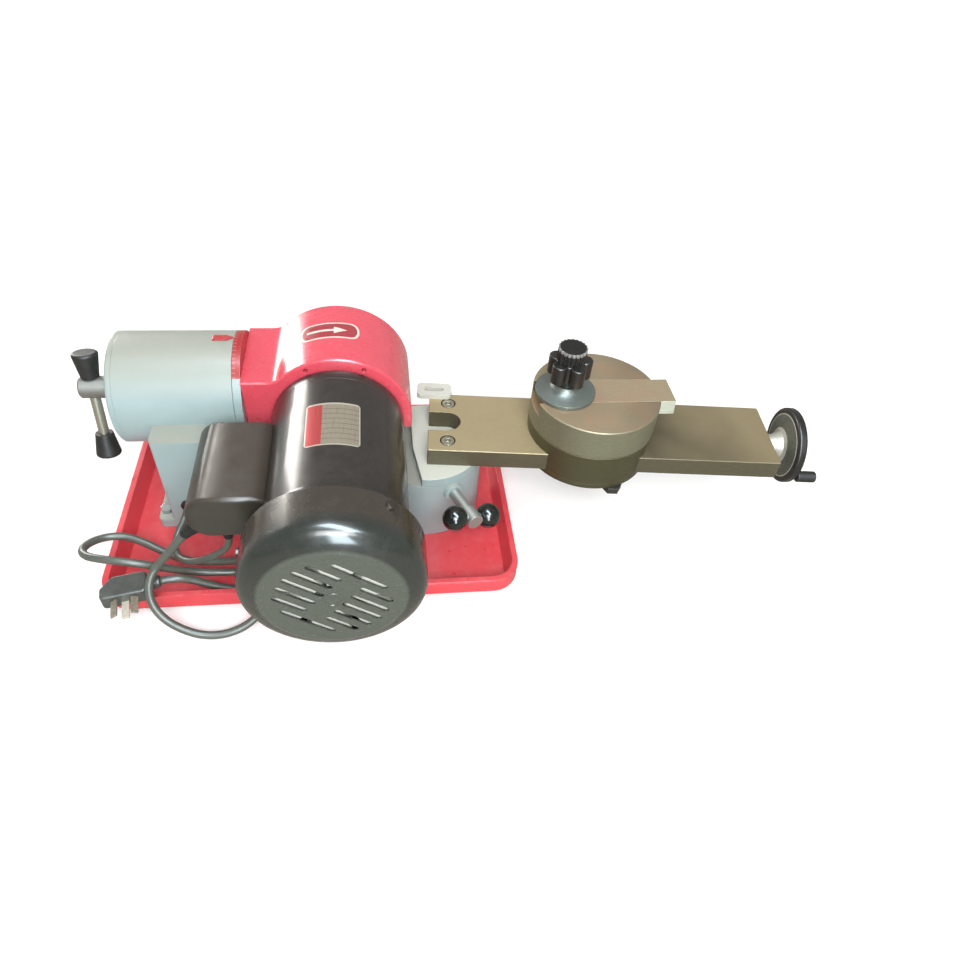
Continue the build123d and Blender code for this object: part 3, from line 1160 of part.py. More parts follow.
def dovetail(clearance, start):
    """Section of the blade bar, or of its way with a clearance, on a plane across the bar."""
    angle = radians(TURNTABLE_ANGLE)
    along = Vector(cos(angle), sin(angle), 0)
    origin = Vector(SLIDE_X, SLIDE_Y, BAR_SEAT) + along * start
    with BuildSketch(Plane(origin=origin, x_dir=(-along.Y, along.X, 0), z_dir=along)) as section:
        with BuildLine():
            Polyline(
                (-BAR_BOTTOM_WIDTH / 2 - clearance, -clearance),
                (BAR_BOTTOM_WIDTH / 2 + clearance, -clearance),
                (BAR_TOP_WIDTH / 2 + clearance, BAR_THICK),
                (-BAR_TOP_WIDTH / 2 - clearance, BAR_THICK),
                close=True,
            )
        make_face()
    return section.sketch


with BuildPart() as turntable:
    with BuildSketch(seat_plane(TURNTABLE_BOTTOM)):
        Circle(SLIDE_RADIUS)
    extrude(amount=TURNTABLE_HEIGHT)
    chamfer(edges().filter_by(GeomType.CIRCLE), 0.8)
    with BuildSketch(seat_plane(TURNTABLE_BOTTOM)):
        Circle(TURNTABLE_PIVOT + RUN)
    extrude(amount=TURNTABLE_PIVOT_HEIGHT, mode=Mode.SUBTRACT)
    extrude(dovetail(SLIDE_CLEAR, -SLIDE_RADIUS), amount=2 * SLIDE_RADIUS, mode=Mode.SUBTRACT)

with BuildPart() as blade_bar:
    extrude(dovetail(0, BAR_START), amount=BAR_END - BAR_START)
    with BuildSketch(seat_plane(BAR_SEAT)):
        with Locations((SPINDLE_OFFSET, 0)):
            Circle(SPINDLE_RADIUS)
    extrude(amount=BAR_THICK, mode=Mode.SUBTRACT)

with BuildPart() as blade_spindle:
    with BuildSketch(seat_plane(BAR_SEAT)):
        with Locations((SPINDLE_OFFSET, 0)):
            Circle(SPINDLE_RADIUS - SEAT)
    extrude(amount=SPINDLE_TOP - BAR_SEAT)
    chamfer(edges().sort_by(Axis.Z)[-1], 1.0)

# Blade clamp: centring cone, star knob and knurled nut on the spindle
SPINDLE_AXIS = Axis((SPINDLE_X, SPINDLE_Y, 0), (0, 0, 1))
with BuildPart() as clamp_cone:
    with BuildSketch(upright_profile(SPINDLE_X, SPINDLE_Y)):
        with BuildLine():
            Polyline(
                (CONE_TOP_RADIUS, CONE_TOP),
                (SPINDLE_RADIUS + RUN, CONE_TOP),
                (SPINDLE_RADIUS + RUN, CONE_BOTTOM),
                (CONE_RADIUS, CONE_BOTTOM),
                (CONE_RADIUS, CONE_BOTTOM + CONE_RIM),
            )
            Spline(
                (CONE_RADIUS, CONE_BOTTOM + CONE_RIM),
                (CONE_TOP_RADIUS, CONE_TOP),
                tangents=((-1, 0.25), (-0.4, 1)),
            )
        make_face()
    revolve(axis=SPINDLE_AXIS)


def lobed_outline():
    """Star knob's outline: a round core with equal lobes."""
    Circle(STAR_CORE)
    with PolarLocations(STAR_LOBE_CIRCLE, STAR_LOBES):
        Circle(STAR_LOBE_RADIUS)


def spindle_plane(z):
    """Level plane at z, centred on the spindle."""
    return Plane(origin=(SPINDLE_X, SPINDLE_Y, z), x_dir=(1, 0, 0), z_dir=(0, 0, 1))


with BuildPart() as star_knob:
    with BuildSketch(spindle_plane(STAR_BOTTOM + STAR_SKIRT)):
        lobed_outline()
    extrude(amount=STAR_HEIGHT - STAR_SKIRT)
    fillet(faces().sort_by(Axis.Z)[-1].outer_wire().edges(), STAR_EDGE)
    with BuildSketch(spindle_plane(STAR_BOTTOM)):
        Circle(STAR_SKIRT_RADIUS)
    extrude(amount=STAR_SKIRT)
    with BuildSketch(spindle_plane(STAR_BOTTOM)):
        Circle(SPINDLE_RADIUS + RUN)
    extrude(amount=STAR_HEIGHT, mode=Mode.SUBTRACT)

with BuildPart() as knurled_knob:
    with BuildSketch(spindle_plane(STAR_TOP + AIR)):
        Circle(KNURL_RADIUS)
        with PolarLocations(KNURL_RADIUS, KNURL_TEETH):
            RegularPolygon(KNURL_DEPTH, 4, mode=Mode.SUBTRACT)
    extrude(amount=KNURL_HEIGHT)
    with BuildSketch(spindle_plane(STAR_TOP + AIR)):
        Circle(SPINDLE_RADIUS + RUN)
    extrude(amount=SPINDLE_ENTRY, mode=Mode.SUBTRACT)

# Rocker switch on the pillar's rear face
SWITCH_BACK = PILLAR_BACK + SWITCH_DEPTH
POCKET_WIDTH = SWITCH_WIDTH - 2 * SWITCH_WALL
POCKET_HEIGHT = SWITCH_HEIGHT - 2 * SWITCH_WALL
with BuildPart() as switch_bezel:
    with BuildSketch(facing(SWITCH_BACK)):
        with Locations((SWITCH_X, SWITCH_Z)):
            RectangleRounded(SWITCH_WIDTH, SWITCH_HEIGHT, SWITCH_WALL / 2)
    extrude(amount=SWITCH_DEPTH)
    with BuildSketch(facing(SWITCH_BACK)):
        with Locations((SWITCH_X, SWITCH_Z)):
            Rectangle(POCKET_WIDTH, POCKET_HEIGHT)
    extrude(amount=SWITCH_DEPTH - SWITCH_WALL / 2, mode=Mode.SUBTRACT)

ROCKER_HALF = POCKET_HEIGHT / 2 - 2 * AIR
ROCKER_AXLE_Y = SWITCH_BACK - SWITCH_WALL / 2
with BuildPart() as switch_rocker:
    rocker_plane = Plane(
        origin=(SWITCH_X - POCKET_WIDTH / 2 + AIR, ROCKER_AXLE_Y, SWITCH_Z), x_dir=(0, 1, 0), z_dir=(1, 0, 0)
    )
    with BuildSketch(rocker_plane):
        with BuildLine():
            Polyline(
                (-ROCKER_PROUD / 3, -ROCKER_HALF / 3),
                (SWITCH_WALL / 2, -ROCKER_HALF + AIR),
                (SWITCH_WALL / 2 + ROCKER_PROUD, -ROCKER_HALF + ROCKER_PROUD / 2),
                (SWITCH_WALL / 2 + ROCKER_PROUD / 2, 0),
                (SWITCH_WALL / 2, ROCKER_HALF - ROCKER_PROUD / 2),
                (0, ROCKER_HALF - ROCKER_PROUD / 2),
                (-ROCKER_PROUD / 3, ROCKER_HALF / 3),
                close=True,
            )
        make_face()
        Circle(ROCKER_PIN)
    extrude(amount=POCKET_WIDTH - 2 * AIR)

# Plug: the cord enters its right-hand side, and the pins point to the front
plug_turn = radians(PLUG_TURN)
PLUG_SIDE = Vector(cos(plug_turn), sin(plug_turn), 0)
PLUG_REAR = Vector(-sin(plug_turn), cos(plug_turn), 0)
PLUG_CENTRE = Vector(PLUG_X, PLUG_Y, PLUG_Z)
NECK_ROOT = PLUG_CENTRE + PLUG_SIDE * (PLUG_WIDTH / 2) + PLUG_REAR * PLUG_NECK_BACK
NECK_TAIL = NECK_ROOT + PLUG_SIDE * PLUG_NECK
with BuildPart() as plug_body:
    plug_underside = PLUG_CENTRE - Vector(0, 0, PLUG_THICK / 2)
    with BuildSketch(Plane(origin=plug_underside, x_dir=PLUG_SIDE, z_dir=(0, 0, 1))):
        with BuildLine():
            Polyline(
                (-PLUG_WIDTH / 2, -PLUG_BODY / 2),
                (PLUG_WIDTH / 2, -PLUG_BODY / 2),
                (PLUG_WIDTH / 2, PLUG_BODY / 2),
                (PLUG_WIDTH / 2 - PLUG_SHOULDER, PLUG_BODY / 2),
                (-PLUG_WIDTH / 2, 0),
                close=True,
            )
        make_face()
    extrude(amount=PLUG_THICK)
    fillet(edges().filter_by(Axis.Z), PLUG_EDGE)
    fillet(faces().filter_by(Axis.Z).edges(), PLUG_EDGE / 2)
    with BuildSketch(Plane(origin=NECK_ROOT, x_dir=PLUG_REAR, z_dir=(0, 0, 1))):
        with BuildLine():
            Polyline(
                (0, -PLUG_NECK),
                (PLUG_TAIL_RADIUS, -PLUG_NECK),
                (PLUG_NECK_RADIUS, 0),
                (PLUG_NECK_RADIUS, PLUG_EDGE),
                (0, PLUG_EDGE),
                close=True,
            )
        make_face()
    revolve(axis=Axis(NECK_ROOT, PLUG_SIDE))

with BuildPart() as plug_pins:
    pin_face = PLUG_CENTRE - PLUG_REAR * (PLUG_BODY / 2)
    with BuildSketch(Plane(origin=pin_face, x_dir=PLUG_SIDE, z_dir=-PLUG_REAR)):
        with Locations((0, -EARTH_DROP)):
            Rectangle(PIN_WIDTH, PIN_THICK)
        for side in (-1, 1):
            with Locations(Location((side * PIN_SPREAD, PIN_LIFT, 0), (0, 0, side * PIN_LEAN))):
                Rectangle(PIN_THICK, PIN_WIDTH)
    extrude(amount=PIN_LENGTH)

# Cords. The mains cord drops over the plug's neck, loops outside the tray's front rim and back, folds over
# the left rim, and runs round under the motor to the plug. The short lead runs from its gland to the column.
CORD_ROUTE = [
    CORD_SEAT + CORD_OUT * GLAND_LENGTH,
    CORD_SEAT + CORD_OUT * (GLAND_LENGTH + CORD_LEAVE),
    (-120.0, -124.0, 77.0),
    (-129.5, -122.3, 64.0),
    (-138.0, -122.3, 51.5),
    (-144.5, -127.6, 43.0),
    (-146.8, -138.0, 37.0),
    (-144.0, -150.0, 31.5),
    (-134.5, -160.0, 22.5),
    (-119.0, -166.5, 13.0),
    (-100.0, -170.0, 5.5),
    (-79.0, -169.0, 5.0),
    (-59.0, -161.0, 9.0),
    (-43.0, -148.0, 21.5),
    (-34.5, -130.0, 28.5),
    (-38.5, -110.0, 26.0),
    (-54.0, -96.0, 18.5),
    (-76.0, -89.0, 12.0),
    (-102.0, -87.0, 8.5),
    (-128.0, -84.5, 9.0),
    (-149.0, -77.0, 14.0),
    (-169.0, -68.0, 21.0),
    (-189.0, -62.5, 26.0),
    (-208.5, -69.0, 30.0),
    (-217.0, -86.0, 37.5),
    (-209.0, -103.0, 45.5),
    (-189.0, -111.0, 49.0),
    (-170.0, -113.5, 47.5),
    (-152.0, -112.5, 40.5),
    (-136.0, -108.0, 27.5),
    (-119.0, -102.5, 14.5),
    (-98.0, -100.5, 9.0),
    (-76.0, -98.5, 5.6),
    (-56.0, -88.5, 5.4),
    (-38.0, -75.0, 5.4),
    (-18.0, -67.5, 5.4),
    (2.0, -75.5, 5.4),
    (10.0, -94.5, 5.4),
    (2.0, -113.0, 5.4),
    (-18.0, -119.8, 5.4),
    (-40.0, -119.5, 5.4),
    (-65.0, -119.0, 5.4),
    (-85.0, -118.5, 6.2),
    (-101.0, -117.5, 12.5),
    (-115.0, -117.5, 21.5),
    NECK_TAIL + PLUG_SIDE * CORD_LEAVE,
    NECK_TAIL,
]
LEAD_ROUTE = [
    LEAD_SEAT + LEAD_OUT * GLAND_LENGTH,
    LEAD_SEAT + LEAD_OUT * (GLAND_LENGTH + CORD_LEAVE),
    (-79.0, -116.0, 62.5),
    (-91.0, -112.0, 49.5),
    (-105.0, -107.0, 37.5),
    (-119.0, -101.0, 27.5),
    (-131.5, -91.5, 22.0),
    (-138.5, -78.0, 21.5),
    (-138.0, -62.0, 24.0),
    (GROMMET_X, PILLAR_FRONT - CORD_LEAVE, GROMMET_Z),
    (GROMMET_X, PILLAR_FRONT, GROMMET_Z),
]


def bend_radii(points):
    """One bend radius for each inner point of a route, eased to fit the shorter run beside it."""
    radii = []
    for before, here, after in zip(points, points[1:], points[2:]):
        back = Vector(before) - Vector(here)
        onward = Vector(after) - Vector(here)
        half_turn = radians(180 - back.get_angle(onward)) / 2
        radii.append(ROUTE_EASE * min(back.length, onward.length) / tan(half_turn))
    return radii


def route_line(points):
    """Straight runs joined by tangent arcs."""
    with BuildLine(mode=Mode.PRIVATE) as route:
        FilletPolyline(*points, radius=bend_radii(points))
    return route.line


def route_start(points):
    """Plane across a route at its first point."""
    return Plane(origin=points[0], z_dir=Vector(points[1]) - Vector(points[0]))


with BuildPart() as power_cord:
    with BuildSketch(route_start(CORD_ROUTE)):
        Circle(CORD_DIAMETER / 2)
    sweep(path=route_line(CORD_ROUTE))

with BuildPart() as switch_lead:
    with BuildSketch(route_start(LEAD_ROUTE)):
        Circle(LEAD_DIAMETER / 2)
    sweep(path=route_line(LEAD_ROUTE))

with BuildPart() as lead_grommet:
    with BuildSketch(facing(PILLAR_FRONT)):
        with Locations((GROMMET_X, GROMMET_Z)):
            Circle(GROMMET_RADIUS)
            Circle(LEAD_DIAMETER / 2 + SEAT, mode=Mode.SUBTRACT)
    extrude(amount=GROMMET_DEPTH)
    chamfer(faces().sort_by(Axis.Y)[0].outer_wire().edges(), 1.0)

PIECES = {
    "drip_tray": drip_tray,
    "head_column": head_column,
    "floor_bolts": floor_bolts,
    "barrel_end_cap": barrel_end_cap,
    "tilt_pointer": tilt_pointer,
    "feed_screw": feed_screw,
    "crank_hub": crank_hub,
    "cross_bar": cross_bar,
    "crank_grips": crank_grips,
    "quill": quill,
    "feed_nut": feed_nut,
    "tilt_spigot": tilt_spigot,
    "scale_ring": scale_ring,
    "wheel_guard": wheel_guard,
    "guard_cover": guard_cover,
    "motor_frame": motor_frame,
    "motor_flange": motor_flange,
    "rear_shield": rear_shield,
    "motor_bearings": motor_bearings,
    "stator": stator,
    "rotor_shaft": rotor_shaft,
    "rotor_core": rotor_core,
    "cooling_fan": cooling_fan,
    "fan_cover": fan_cover,
    "fan_cover_screws": fan_cover_screws,
    "terminal_box": terminal_box,
    "capacitor": capacitor,
    "cable_glands": cable_glands,
    "grinding_wheel": grinding_wheel,
    "wheel_flanges": wheel_flanges,
    "wheel_nut": wheel_nut,
    "arm_pedestal": arm_pedestal,
    "swivel_plate": swivel_plate,
    "swivel_pivot": swivel_pivot,
    "arm_rail": arm_rail,
    "rail_screws": rail_screws,
    "tooth_stop": tooth_stop,
    "clamp_lever": clamp_lever,
    "clamp_knobs": clamp_knobs,
    "lead_screw": lead_screw,
    "handwheel_web": handwheel_web,
    "handwheel_rim": handwheel_rim,
    "handwheel_grip": handwheel_grip,
    "slide_body": slide_body,
    "slide_keeper": slide_keeper,
    "lead_nut": lead_nut,
    "slide_lock_screw": slide_lock_screw,
    "turntable": turntable,
    "blade_bar": blade_bar,
    "blade_spindle": blade_spindle,
    "clamp_cone": clamp_cone,
    "star_knob": star_knob,
    "knurled_knob": knurled_knob,
    "switch_bezel": switch_bezel,
    "switch_rocker": switch_rocker,
    "power_cord": power_cord,
    "switch_lead": switch_lead,
    "lead_grommet": lead_grommet,
    "plug_body": plug_body,
    "plug_pins": plug_pins,
}
for name, piece in PIECES.items():
    piece.part.label = name
    export_step(piece.part, f"parts/{name}.step")
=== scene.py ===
import math

import bmesh
import bpy
from mathutils import Matrix, Vector


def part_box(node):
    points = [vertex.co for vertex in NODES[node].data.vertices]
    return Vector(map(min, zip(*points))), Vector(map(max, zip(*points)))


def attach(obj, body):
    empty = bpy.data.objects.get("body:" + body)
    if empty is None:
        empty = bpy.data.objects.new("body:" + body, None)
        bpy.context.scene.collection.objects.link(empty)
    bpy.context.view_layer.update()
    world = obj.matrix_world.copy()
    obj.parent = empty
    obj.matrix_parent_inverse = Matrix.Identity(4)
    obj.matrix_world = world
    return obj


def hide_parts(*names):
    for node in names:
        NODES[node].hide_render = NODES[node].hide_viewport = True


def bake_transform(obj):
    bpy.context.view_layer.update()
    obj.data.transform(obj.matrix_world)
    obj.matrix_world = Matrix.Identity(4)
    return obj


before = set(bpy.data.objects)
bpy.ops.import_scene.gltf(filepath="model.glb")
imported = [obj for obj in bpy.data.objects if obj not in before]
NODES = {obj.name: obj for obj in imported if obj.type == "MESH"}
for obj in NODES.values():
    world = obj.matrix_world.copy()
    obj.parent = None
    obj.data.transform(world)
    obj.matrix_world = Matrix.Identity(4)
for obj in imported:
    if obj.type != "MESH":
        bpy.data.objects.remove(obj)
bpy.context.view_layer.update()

MM = 0.001


def mm(*point):
    return Vector(point) * MM


def lowest(node):
    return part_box(node)[0] / MM


def highest(node):
    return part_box(node)[1] / MM


def middle(node):
    return (lowest(node) + highest(node)) / 2


# Places on the object, in millimetres: read from the frame, apart from the turn of the arm and the plug
MOTOR_X, _, MOTOR_Z = middle("motor_frame")
MOTOR_RADIUS = highest("motor_frame").x - MOTOR_X
HOOD_RADIUS = highest("guard_cover").z - MOTOR_Z
HOOD_BACK_Y = highest("guard_cover").y
FAN_FACE_Y = lowest("fan_cover").y
FAN_FRONT_Y = lowest("cooling_fan").y
BOX_LEFT_X = lowest("terminal_box").x
SCALE_LEFT_X = lowest("scale_ring").x
_, BARREL_Y, BARREL_Z = middle("scale_ring")
KNOB_AT = middle("knurled_knob")
KNOB_TOP_Z = highest("knurled_knob").z
LEAD_SCREW_AT = middle("lead_screw")
TRAY_WIDTH, TRAY_DEPTH, TRAY_HEIGHT = highest("drip_tray") - lowest("drip_tray")
ARM_TURN = math.radians(5.3)
ARM_ALONG = (math.cos(ARM_TURN), -math.sin(ARM_TURN), 0)
PLUG_AT = (-171, -131, 29.1)
PLUG_TURN = math.radians(12)
PLUG_ACROSS = (math.cos(PLUG_TURN), math.sin(PLUG_TURN), 0)
PLUG_BACK = (-math.sin(PLUG_TURN), math.cos(PLUG_TURN), 0)

# Camera, at the photograph's place
CAMERA_AT = mm(65.773, -556.334, 595.717)
CAMERA_YAW, CAMERA_PITCH, CAMERA_ROLL = (math.radians(a) for a in (10.789, 45.264, 5.995))
CAMERA_LENS = 27.304
SENSOR = 36.0
CLIP_NEAR, CLIP_FAR = 0.01, 50


def make_camera():
    data = bpy.data.cameras.new("photo_camera")
    data.lens, data.sensor_width = CAMERA_LENS, SENSOR
    data.clip_start, data.clip_end = CLIP_NEAR, CLIP_FAR
    forward = Vector((
        math.sin(CAMERA_YAW) * math.cos(CAMERA_PITCH),
        math.cos(CAMERA_YAW) * math.cos(CAMERA_PITCH),
        -math.sin(CAMERA_PITCH),
    ))
    level = Vector((math.cos(CAMERA_YAW), -math.sin(CAMERA_YAW), 0))
    rise = level.cross(forward)
    right = level * math.cos(CAMERA_ROLL) + rise * math.sin(CAMERA_ROLL)
    up = rise * math.cos(CAMERA_ROLL) - level * math.sin(CAMERA_ROLL)
    turn = Matrix((right, up, -forward)).transposed().to_4x4()
    camera = bpy.data.objects.new("photo_camera", data)
    bpy.context.collection.objects.link(camera)
    camera.matrix_world = Matrix.Translation(CAMERA_AT) @ turn
    bpy.context.scene.camera = camera


make_camera()

# Node helpers
USUAL_SPREAD = (0.3, 0.7)  # where most of a noise's values lie
GRAIN_SPREAD = (0.35, 0.65)  # the same for the finer grain of metals
EDGE_BEND = (0.97, 0.8)  # agreement of the rounded and the flat normal, from open face to edge
FACES_UP = (0.35, 0.95)  # upward part of the normal, from wall to top face
BEVEL_SAMPLES = 4
COAT_ROUGH = 0.1


class Nodes:
    """Short calls for one material's nodes; positions are the object's own metres."""

    def __init__(self, tree):
        self.tree = tree
        self.place = tree.nodes.new("ShaderNodeTexCoord").outputs["Object"]

    def feed(self, socket, value):
        """Gives a socket another node's output or a plain value."""
        if hasattr(value, "is_linked"):
            self.tree.links.new(value, socket)
        else:
            socket.default_value = value

    def add(self, kind, **values):
        """A new node; each value goes to the input of that name or else to the setting."""
        node = self.tree.nodes.new(kind)
        for key, value in values.items():
            if key in node.inputs:
                self.feed(node.inputs[key], value)
            else:
                setattr(node, key, value)
        return node

    def stretched(self, scale, turn):
        node = self.add("ShaderNodeMapping", Vector=self.place, Scale=scale, Rotation=turn)
        return node.outputs["Vector"]

    def noise(self, scale, detail=3.0, rough=0.5, vector=None):
        node = self.add("ShaderNodeTexNoise", Scale=scale, Detail=detail, Roughness=rough)
        self.feed(node.inputs["Vector"], vector or self.place)
        return node.outputs["Fac"]

    def span(self, value, low, high, to_low=0.0, to_high=1.0):
        """A value's stretch from low to high, laid over another stretch."""
        node = self.add("ShaderNodeMapRange", Value=value)
        for key, number in zip(("From Min", "From Max", "To Min", "To Max"), (low, high, to_low, to_high)):
            self.feed(node.inputs[key], number)
        return node.outputs["Result"]

    def drift(self, scale, detail=3.0, to_low=0.0, to_high=1.0):
        """Noise over its usual spread, laid between two values."""
        return self.span(self.noise(scale, detail), *USUAL_SPREAD, to_low, to_high)

    def math(self, operation, a, b=0.0):
        node = self.add("ShaderNodeMath", operation=operation)
        self.feed(node.inputs[0], a)
        self.feed(node.inputs[1], b)
        return node.outputs["Value"]

    def vector(self, operation, a, b=(0, 0, 0)):
        """What an operation gives: a vector, or a plain value for a product or a length."""
        node = self.add("ShaderNodeVectorMath", operation=operation)
        self.feed(node.inputs[0], a)
        self.feed(node.inputs[1], b)
        return next(s for s in node.outputs if s.enabled)

    def mix(self, share, a, b):
        """Colour a where the share is 0, colour b where it is 1."""
        node = self.add("ShaderNodeMix", data_type="RGBA")
        self.feed(node.inputs[0], share)
        sockets = [s for s in node.inputs if s.type == "RGBA"]
        for socket, value in zip(sockets, (a, b)):
            self.feed(socket, value if hasattr(value, "is_linked") else (*value, 1.0))
        return next(s for s in node.outputs if s.type == "RGBA")

    def parts(self, vector):
        node = self.add("ShaderNodeSeparateXYZ", Vector=vector)
        return [node.outputs[k] for k in "XYZ"]

    def coords(self):
        return self.parts(self.place)

    def facing(self):
        return self.add("ShaderNodeNewGeometry").outputs["Normal"]

    def upward(self):
        """1 on faces that look up, 0 on walls."""
        return self.span(self.parts(self.facing())[2], *FACES_UP)

    def edges(self, radius):
        """1 along outer edges, 0 on open faces, with the rounded normal."""
        rounded = self.add("ShaderNodeBevel", samples=BEVEL_SAMPLES, Radius=radius).outputs["Normal"]
        agreement = self.vector("DOT_PRODUCT", rounded, self.facing())
        return self.span(agreement, *EDGE_BEND), rounded

    def bump(self, height, strength, distance, normal=None):
        node = self.add("ShaderNodeBump", Height=height, Strength=strength, Distance=distance)
        if normal is not None:
            self.feed(node.inputs["Normal"], normal)
        return node.outputs["Normal"]


def new_material(name):
    made = bpy.data.materials.new(name)
    made.use_nodes = True
    tree = made.node_tree
    return made, Nodes(tree), tree.nodes["Principled BSDF"]


def finish_material(n, shader, colour, rough, normal, metallic=0.0, coat=0.0):
    n.feed(shader.inputs["Base Color"], colour)
    n.feed(shader.inputs["Roughness"], rough)
    n.feed(shader.inputs["Normal"], normal)
    shader.inputs["Metallic"].default_value = metallic
    shader.inputs["Coat Weight"].default_value = coat
    shader.inputs["Coat Roughness"].default_value = COAT_ROUGH


def scaled(colour, share):
    return tuple(min(1, c * share) for c in colour)


# Kinds of material
def paint(name, colour, worn, rough, coat, tone, dust=(0.55, 0.5, 0.45), dust_share=0.12, peel=0.12,
          wear=0.5, emboss=None, tints_and_painted_light=()):
    """Sprayed enamel: orange peel, slow colour drift, rubbed edges and fine dust on top faces. Each share
    in the list of tints fades the paint towards a tint: on the grey castings and the fan cover's wall a
    tint of the paint and its dust, on the swivel plate's and the terminal box's top faces a painted sheen,
    and on the fan cover's face a painted reflection. Emboss is a height that gives slight form."""
    made, n, shader = new_material(name)
    base = n.mix(n.drift(scale=22, detail=4), scaled(colour, 1 - tone), colour)
    for share, tint in tints_and_painted_light:
        base = n.mix(share(n), base, tint)
    specks = n.span(n.noise(scale=130, detail=5, rough=0.65), low=0.45, high=0.75, to_high=dust_share)
    base = n.mix(n.math("MULTIPLY", specks, n.upward()), base, dust)
    rim, rounded = n.edges(radius=1.2 * MM)
    rubbed = n.span(n.noise(scale=160, detail=4), low=0.46, high=0.62, to_high=wear)
    base = n.mix(n.math("MULTIPLY", rim, rubbed), base, worn)
    gloss = n.drift(scale=70, detail=4, to_low=rough - 0.07, to_high=rough + 0.08)
    normal = n.bump(n.noise(scale=700, detail=2), peel, distance=0.4 * MM, normal=rounded)
    if emboss:
        normal = n.bump(emboss(n), strength=0.8, distance=1.2 * MM, normal=normal)
    finish_material(n, shader, base, gloss, normal, coat=coat)
    return made


def metal(name, colour, tint, rough, grain, tint_share=0.6, metallic=1.0, scratch=0.18, turn=(0, 0, 0),
          patch=18, walls=None, stain_and_shade=None):
    """Machined or plated metal: directional grain, tinted patches and bright rubbed edges. Walls may have
    their own tone, which on the rail, the slide and the turntable is a painted shade darker than the top. A
    band that darkens the metal along x is partly an oily film and partly painted shade: where it starts,
    where it is thickest, its share there, where it has thinned out, and the share that is left."""
    made, n, shader = new_material(name)
    lines = n.noise(scale=40, detail=4, rough=0.6, vector=n.stretched(grain, turn))
    patches = n.span(n.noise(scale=patch, detail=5, rough=0.6), low=0.42, high=0.68, to_high=tint_share)
    base = n.mix(patches, colour, tint)
    base = n.mix(n.span(lines, *GRAIN_SPREAD, to_high=0.22), base, scaled(colour, 0.6))
    if stain_and_shade:
        base = n.mix(film_and_shade_band(n, *stain_and_shade), base, scaled(colour, 0.28))
    if walls:
        toned = n.mix(n.span(lines, *GRAIN_SPREAD), walls, scaled(walls, 0.75))
        base = n.mix(n.upward(), toned, base)
    rim, rounded = n.edges(radius=0.6 * MM)
    base = n.mix(n.math("MULTIPLY", rim, 0.35), base, scaled(colour, 1.6))
    gloss = n.math("ADD", n.span(lines, *USUAL_SPREAD, to_low=rough - 0.08, to_high=rough + 0.08),
                   n.span(patches, low=0, high=1, to_high=0.16))
    normal = n.bump(lines, scratch, distance=0.3 * MM, normal=rounded)
    finish_material(n, shader, base, gloss, normal, metallic=metallic)
    return made


def film_and_shade_band(n, rise, full, share, fall, rest):
    """Share of a band along x, partly an oily film and partly painted shade, whose ends wander by the blur.
    """
    blur = 40 * MM
    drifted = n.math("ADD", n.coords()[0], n.drift(scale=9, to_low=-blur, to_high=blur))
    return n.math("SUBTRACT", n.span(drifted, rise * MM, full * MM, to_high=share),
                  n.span(drifted, full * MM, fall * MM, to_high=share - rest))


def moulded(name, colour, pale, rough, grain=900, strength=0.12, coat=0.0, specks=0.25):
    """Moulded plastic or rubber: fine grain, scuffed edges and slight bloom."""
    made, n, shader = new_material(name)
    bloom = n.span(n.noise(scale=90, detail=5, rough=0.6), low=0.45, high=0.75, to_high=specks)
    base = n.mix(bloom, colour, pale)
    rim, rounded = n.edges(radius=0.8 * MM)
    scuffed = n.span(n.noise(scale=220), low=0.4, high=0.65, to_high=0.5)
    base = n.mix(n.math("MULTIPLY", rim, scuffed), base, pale)
    gloss = n.drift(scale=120, detail=4, to_low=rough - 0.08, to_high=rough + 0.1)
    normal = n.bump(n.noise(grain), strength, distance=0.3 * MM, normal=rounded)
    finish_material(n, shader, base, gloss, normal, coat=coat)
    return made


def two_tone(name, near, far, share, rough=0.34):
    """Two tones on one piece: share is 1 where the second shows. On the handwheel and the pins these are
    two finishes; on the knurled knob the second is a painted highlight.
    """
    made, n, shader = new_material(name)
    where = share(n)
    grain = n.noise(scale=500, detail=4, rough=0.6)
    first = n.mix(n.span(grain, *GRAIN_SPREAD), near, scaled(near, 0.75))
    second = n.mix(n.span(grain, *GRAIN_SPREAD), far, scaled(far, 0.6))
    rim, rounded = n.edges(radius=0.6 * MM)
    base = n.mix(where, first, second)
    base = n.mix(n.math("MULTIPLY", rim, 0.3), base, (0.55, 0.54, 0.5))
    gloss = n.drift(scale=150, to_low=rough - 0.08, to_high=rough + 0.08)
    normal = n.bump(grain, strength=0.12, distance=0.3 * MM, normal=rounded)
    finish_material(n, shader, base, gloss, normal, metallic=0.35)
    return made


def laminated(name):
    """Stacked sheets with varnish, for the windings' iron."""
    made, n, shader = new_material(name)
    stack = n.add("ShaderNodeTexWave", Vector=n.place, Scale=900.0, Distortion=0.4, bands_direction="Y")
    base = n.mix(stack.outputs["Fac"], (0.10, 0.07, 0.05), (0.30, 0.22, 0.16))
    gloss = n.drift(scale=200, to_low=0.35, to_high=0.55)
    normal = n.bump(stack.outputs["Fac"], strength=0.3, distance=0.3 * MM)
    finish_material(n, shader, base, gloss, normal, metallic=0.6)
    return made


def gritty(name):
    """Bonded grit with bright and dark grains."""
    made, n, shader = new_material(name)
    cells = n.add("ShaderNodeTexVoronoi", Vector=n.place, Scale=1500.0).outputs["Distance"]
    base = n.mix(n.span(n.noise(scale=1100), low=0.4, high=0.62), (0.62, 0.50, 0.43), (0.83, 0.78, 0.72))
    base = n.mix(n.span(cells, low=0.0, high=0.3, to_low=0.55, to_high=0), base, (0.25, 0.22, 0.2))
    gloss = n.drift(scale=900, to_low=0.65, to_high=0.9)
    finish_material(n, shader, base, gloss, n.bump(cells, strength=0.6, distance=0.6 * MM))
    return made


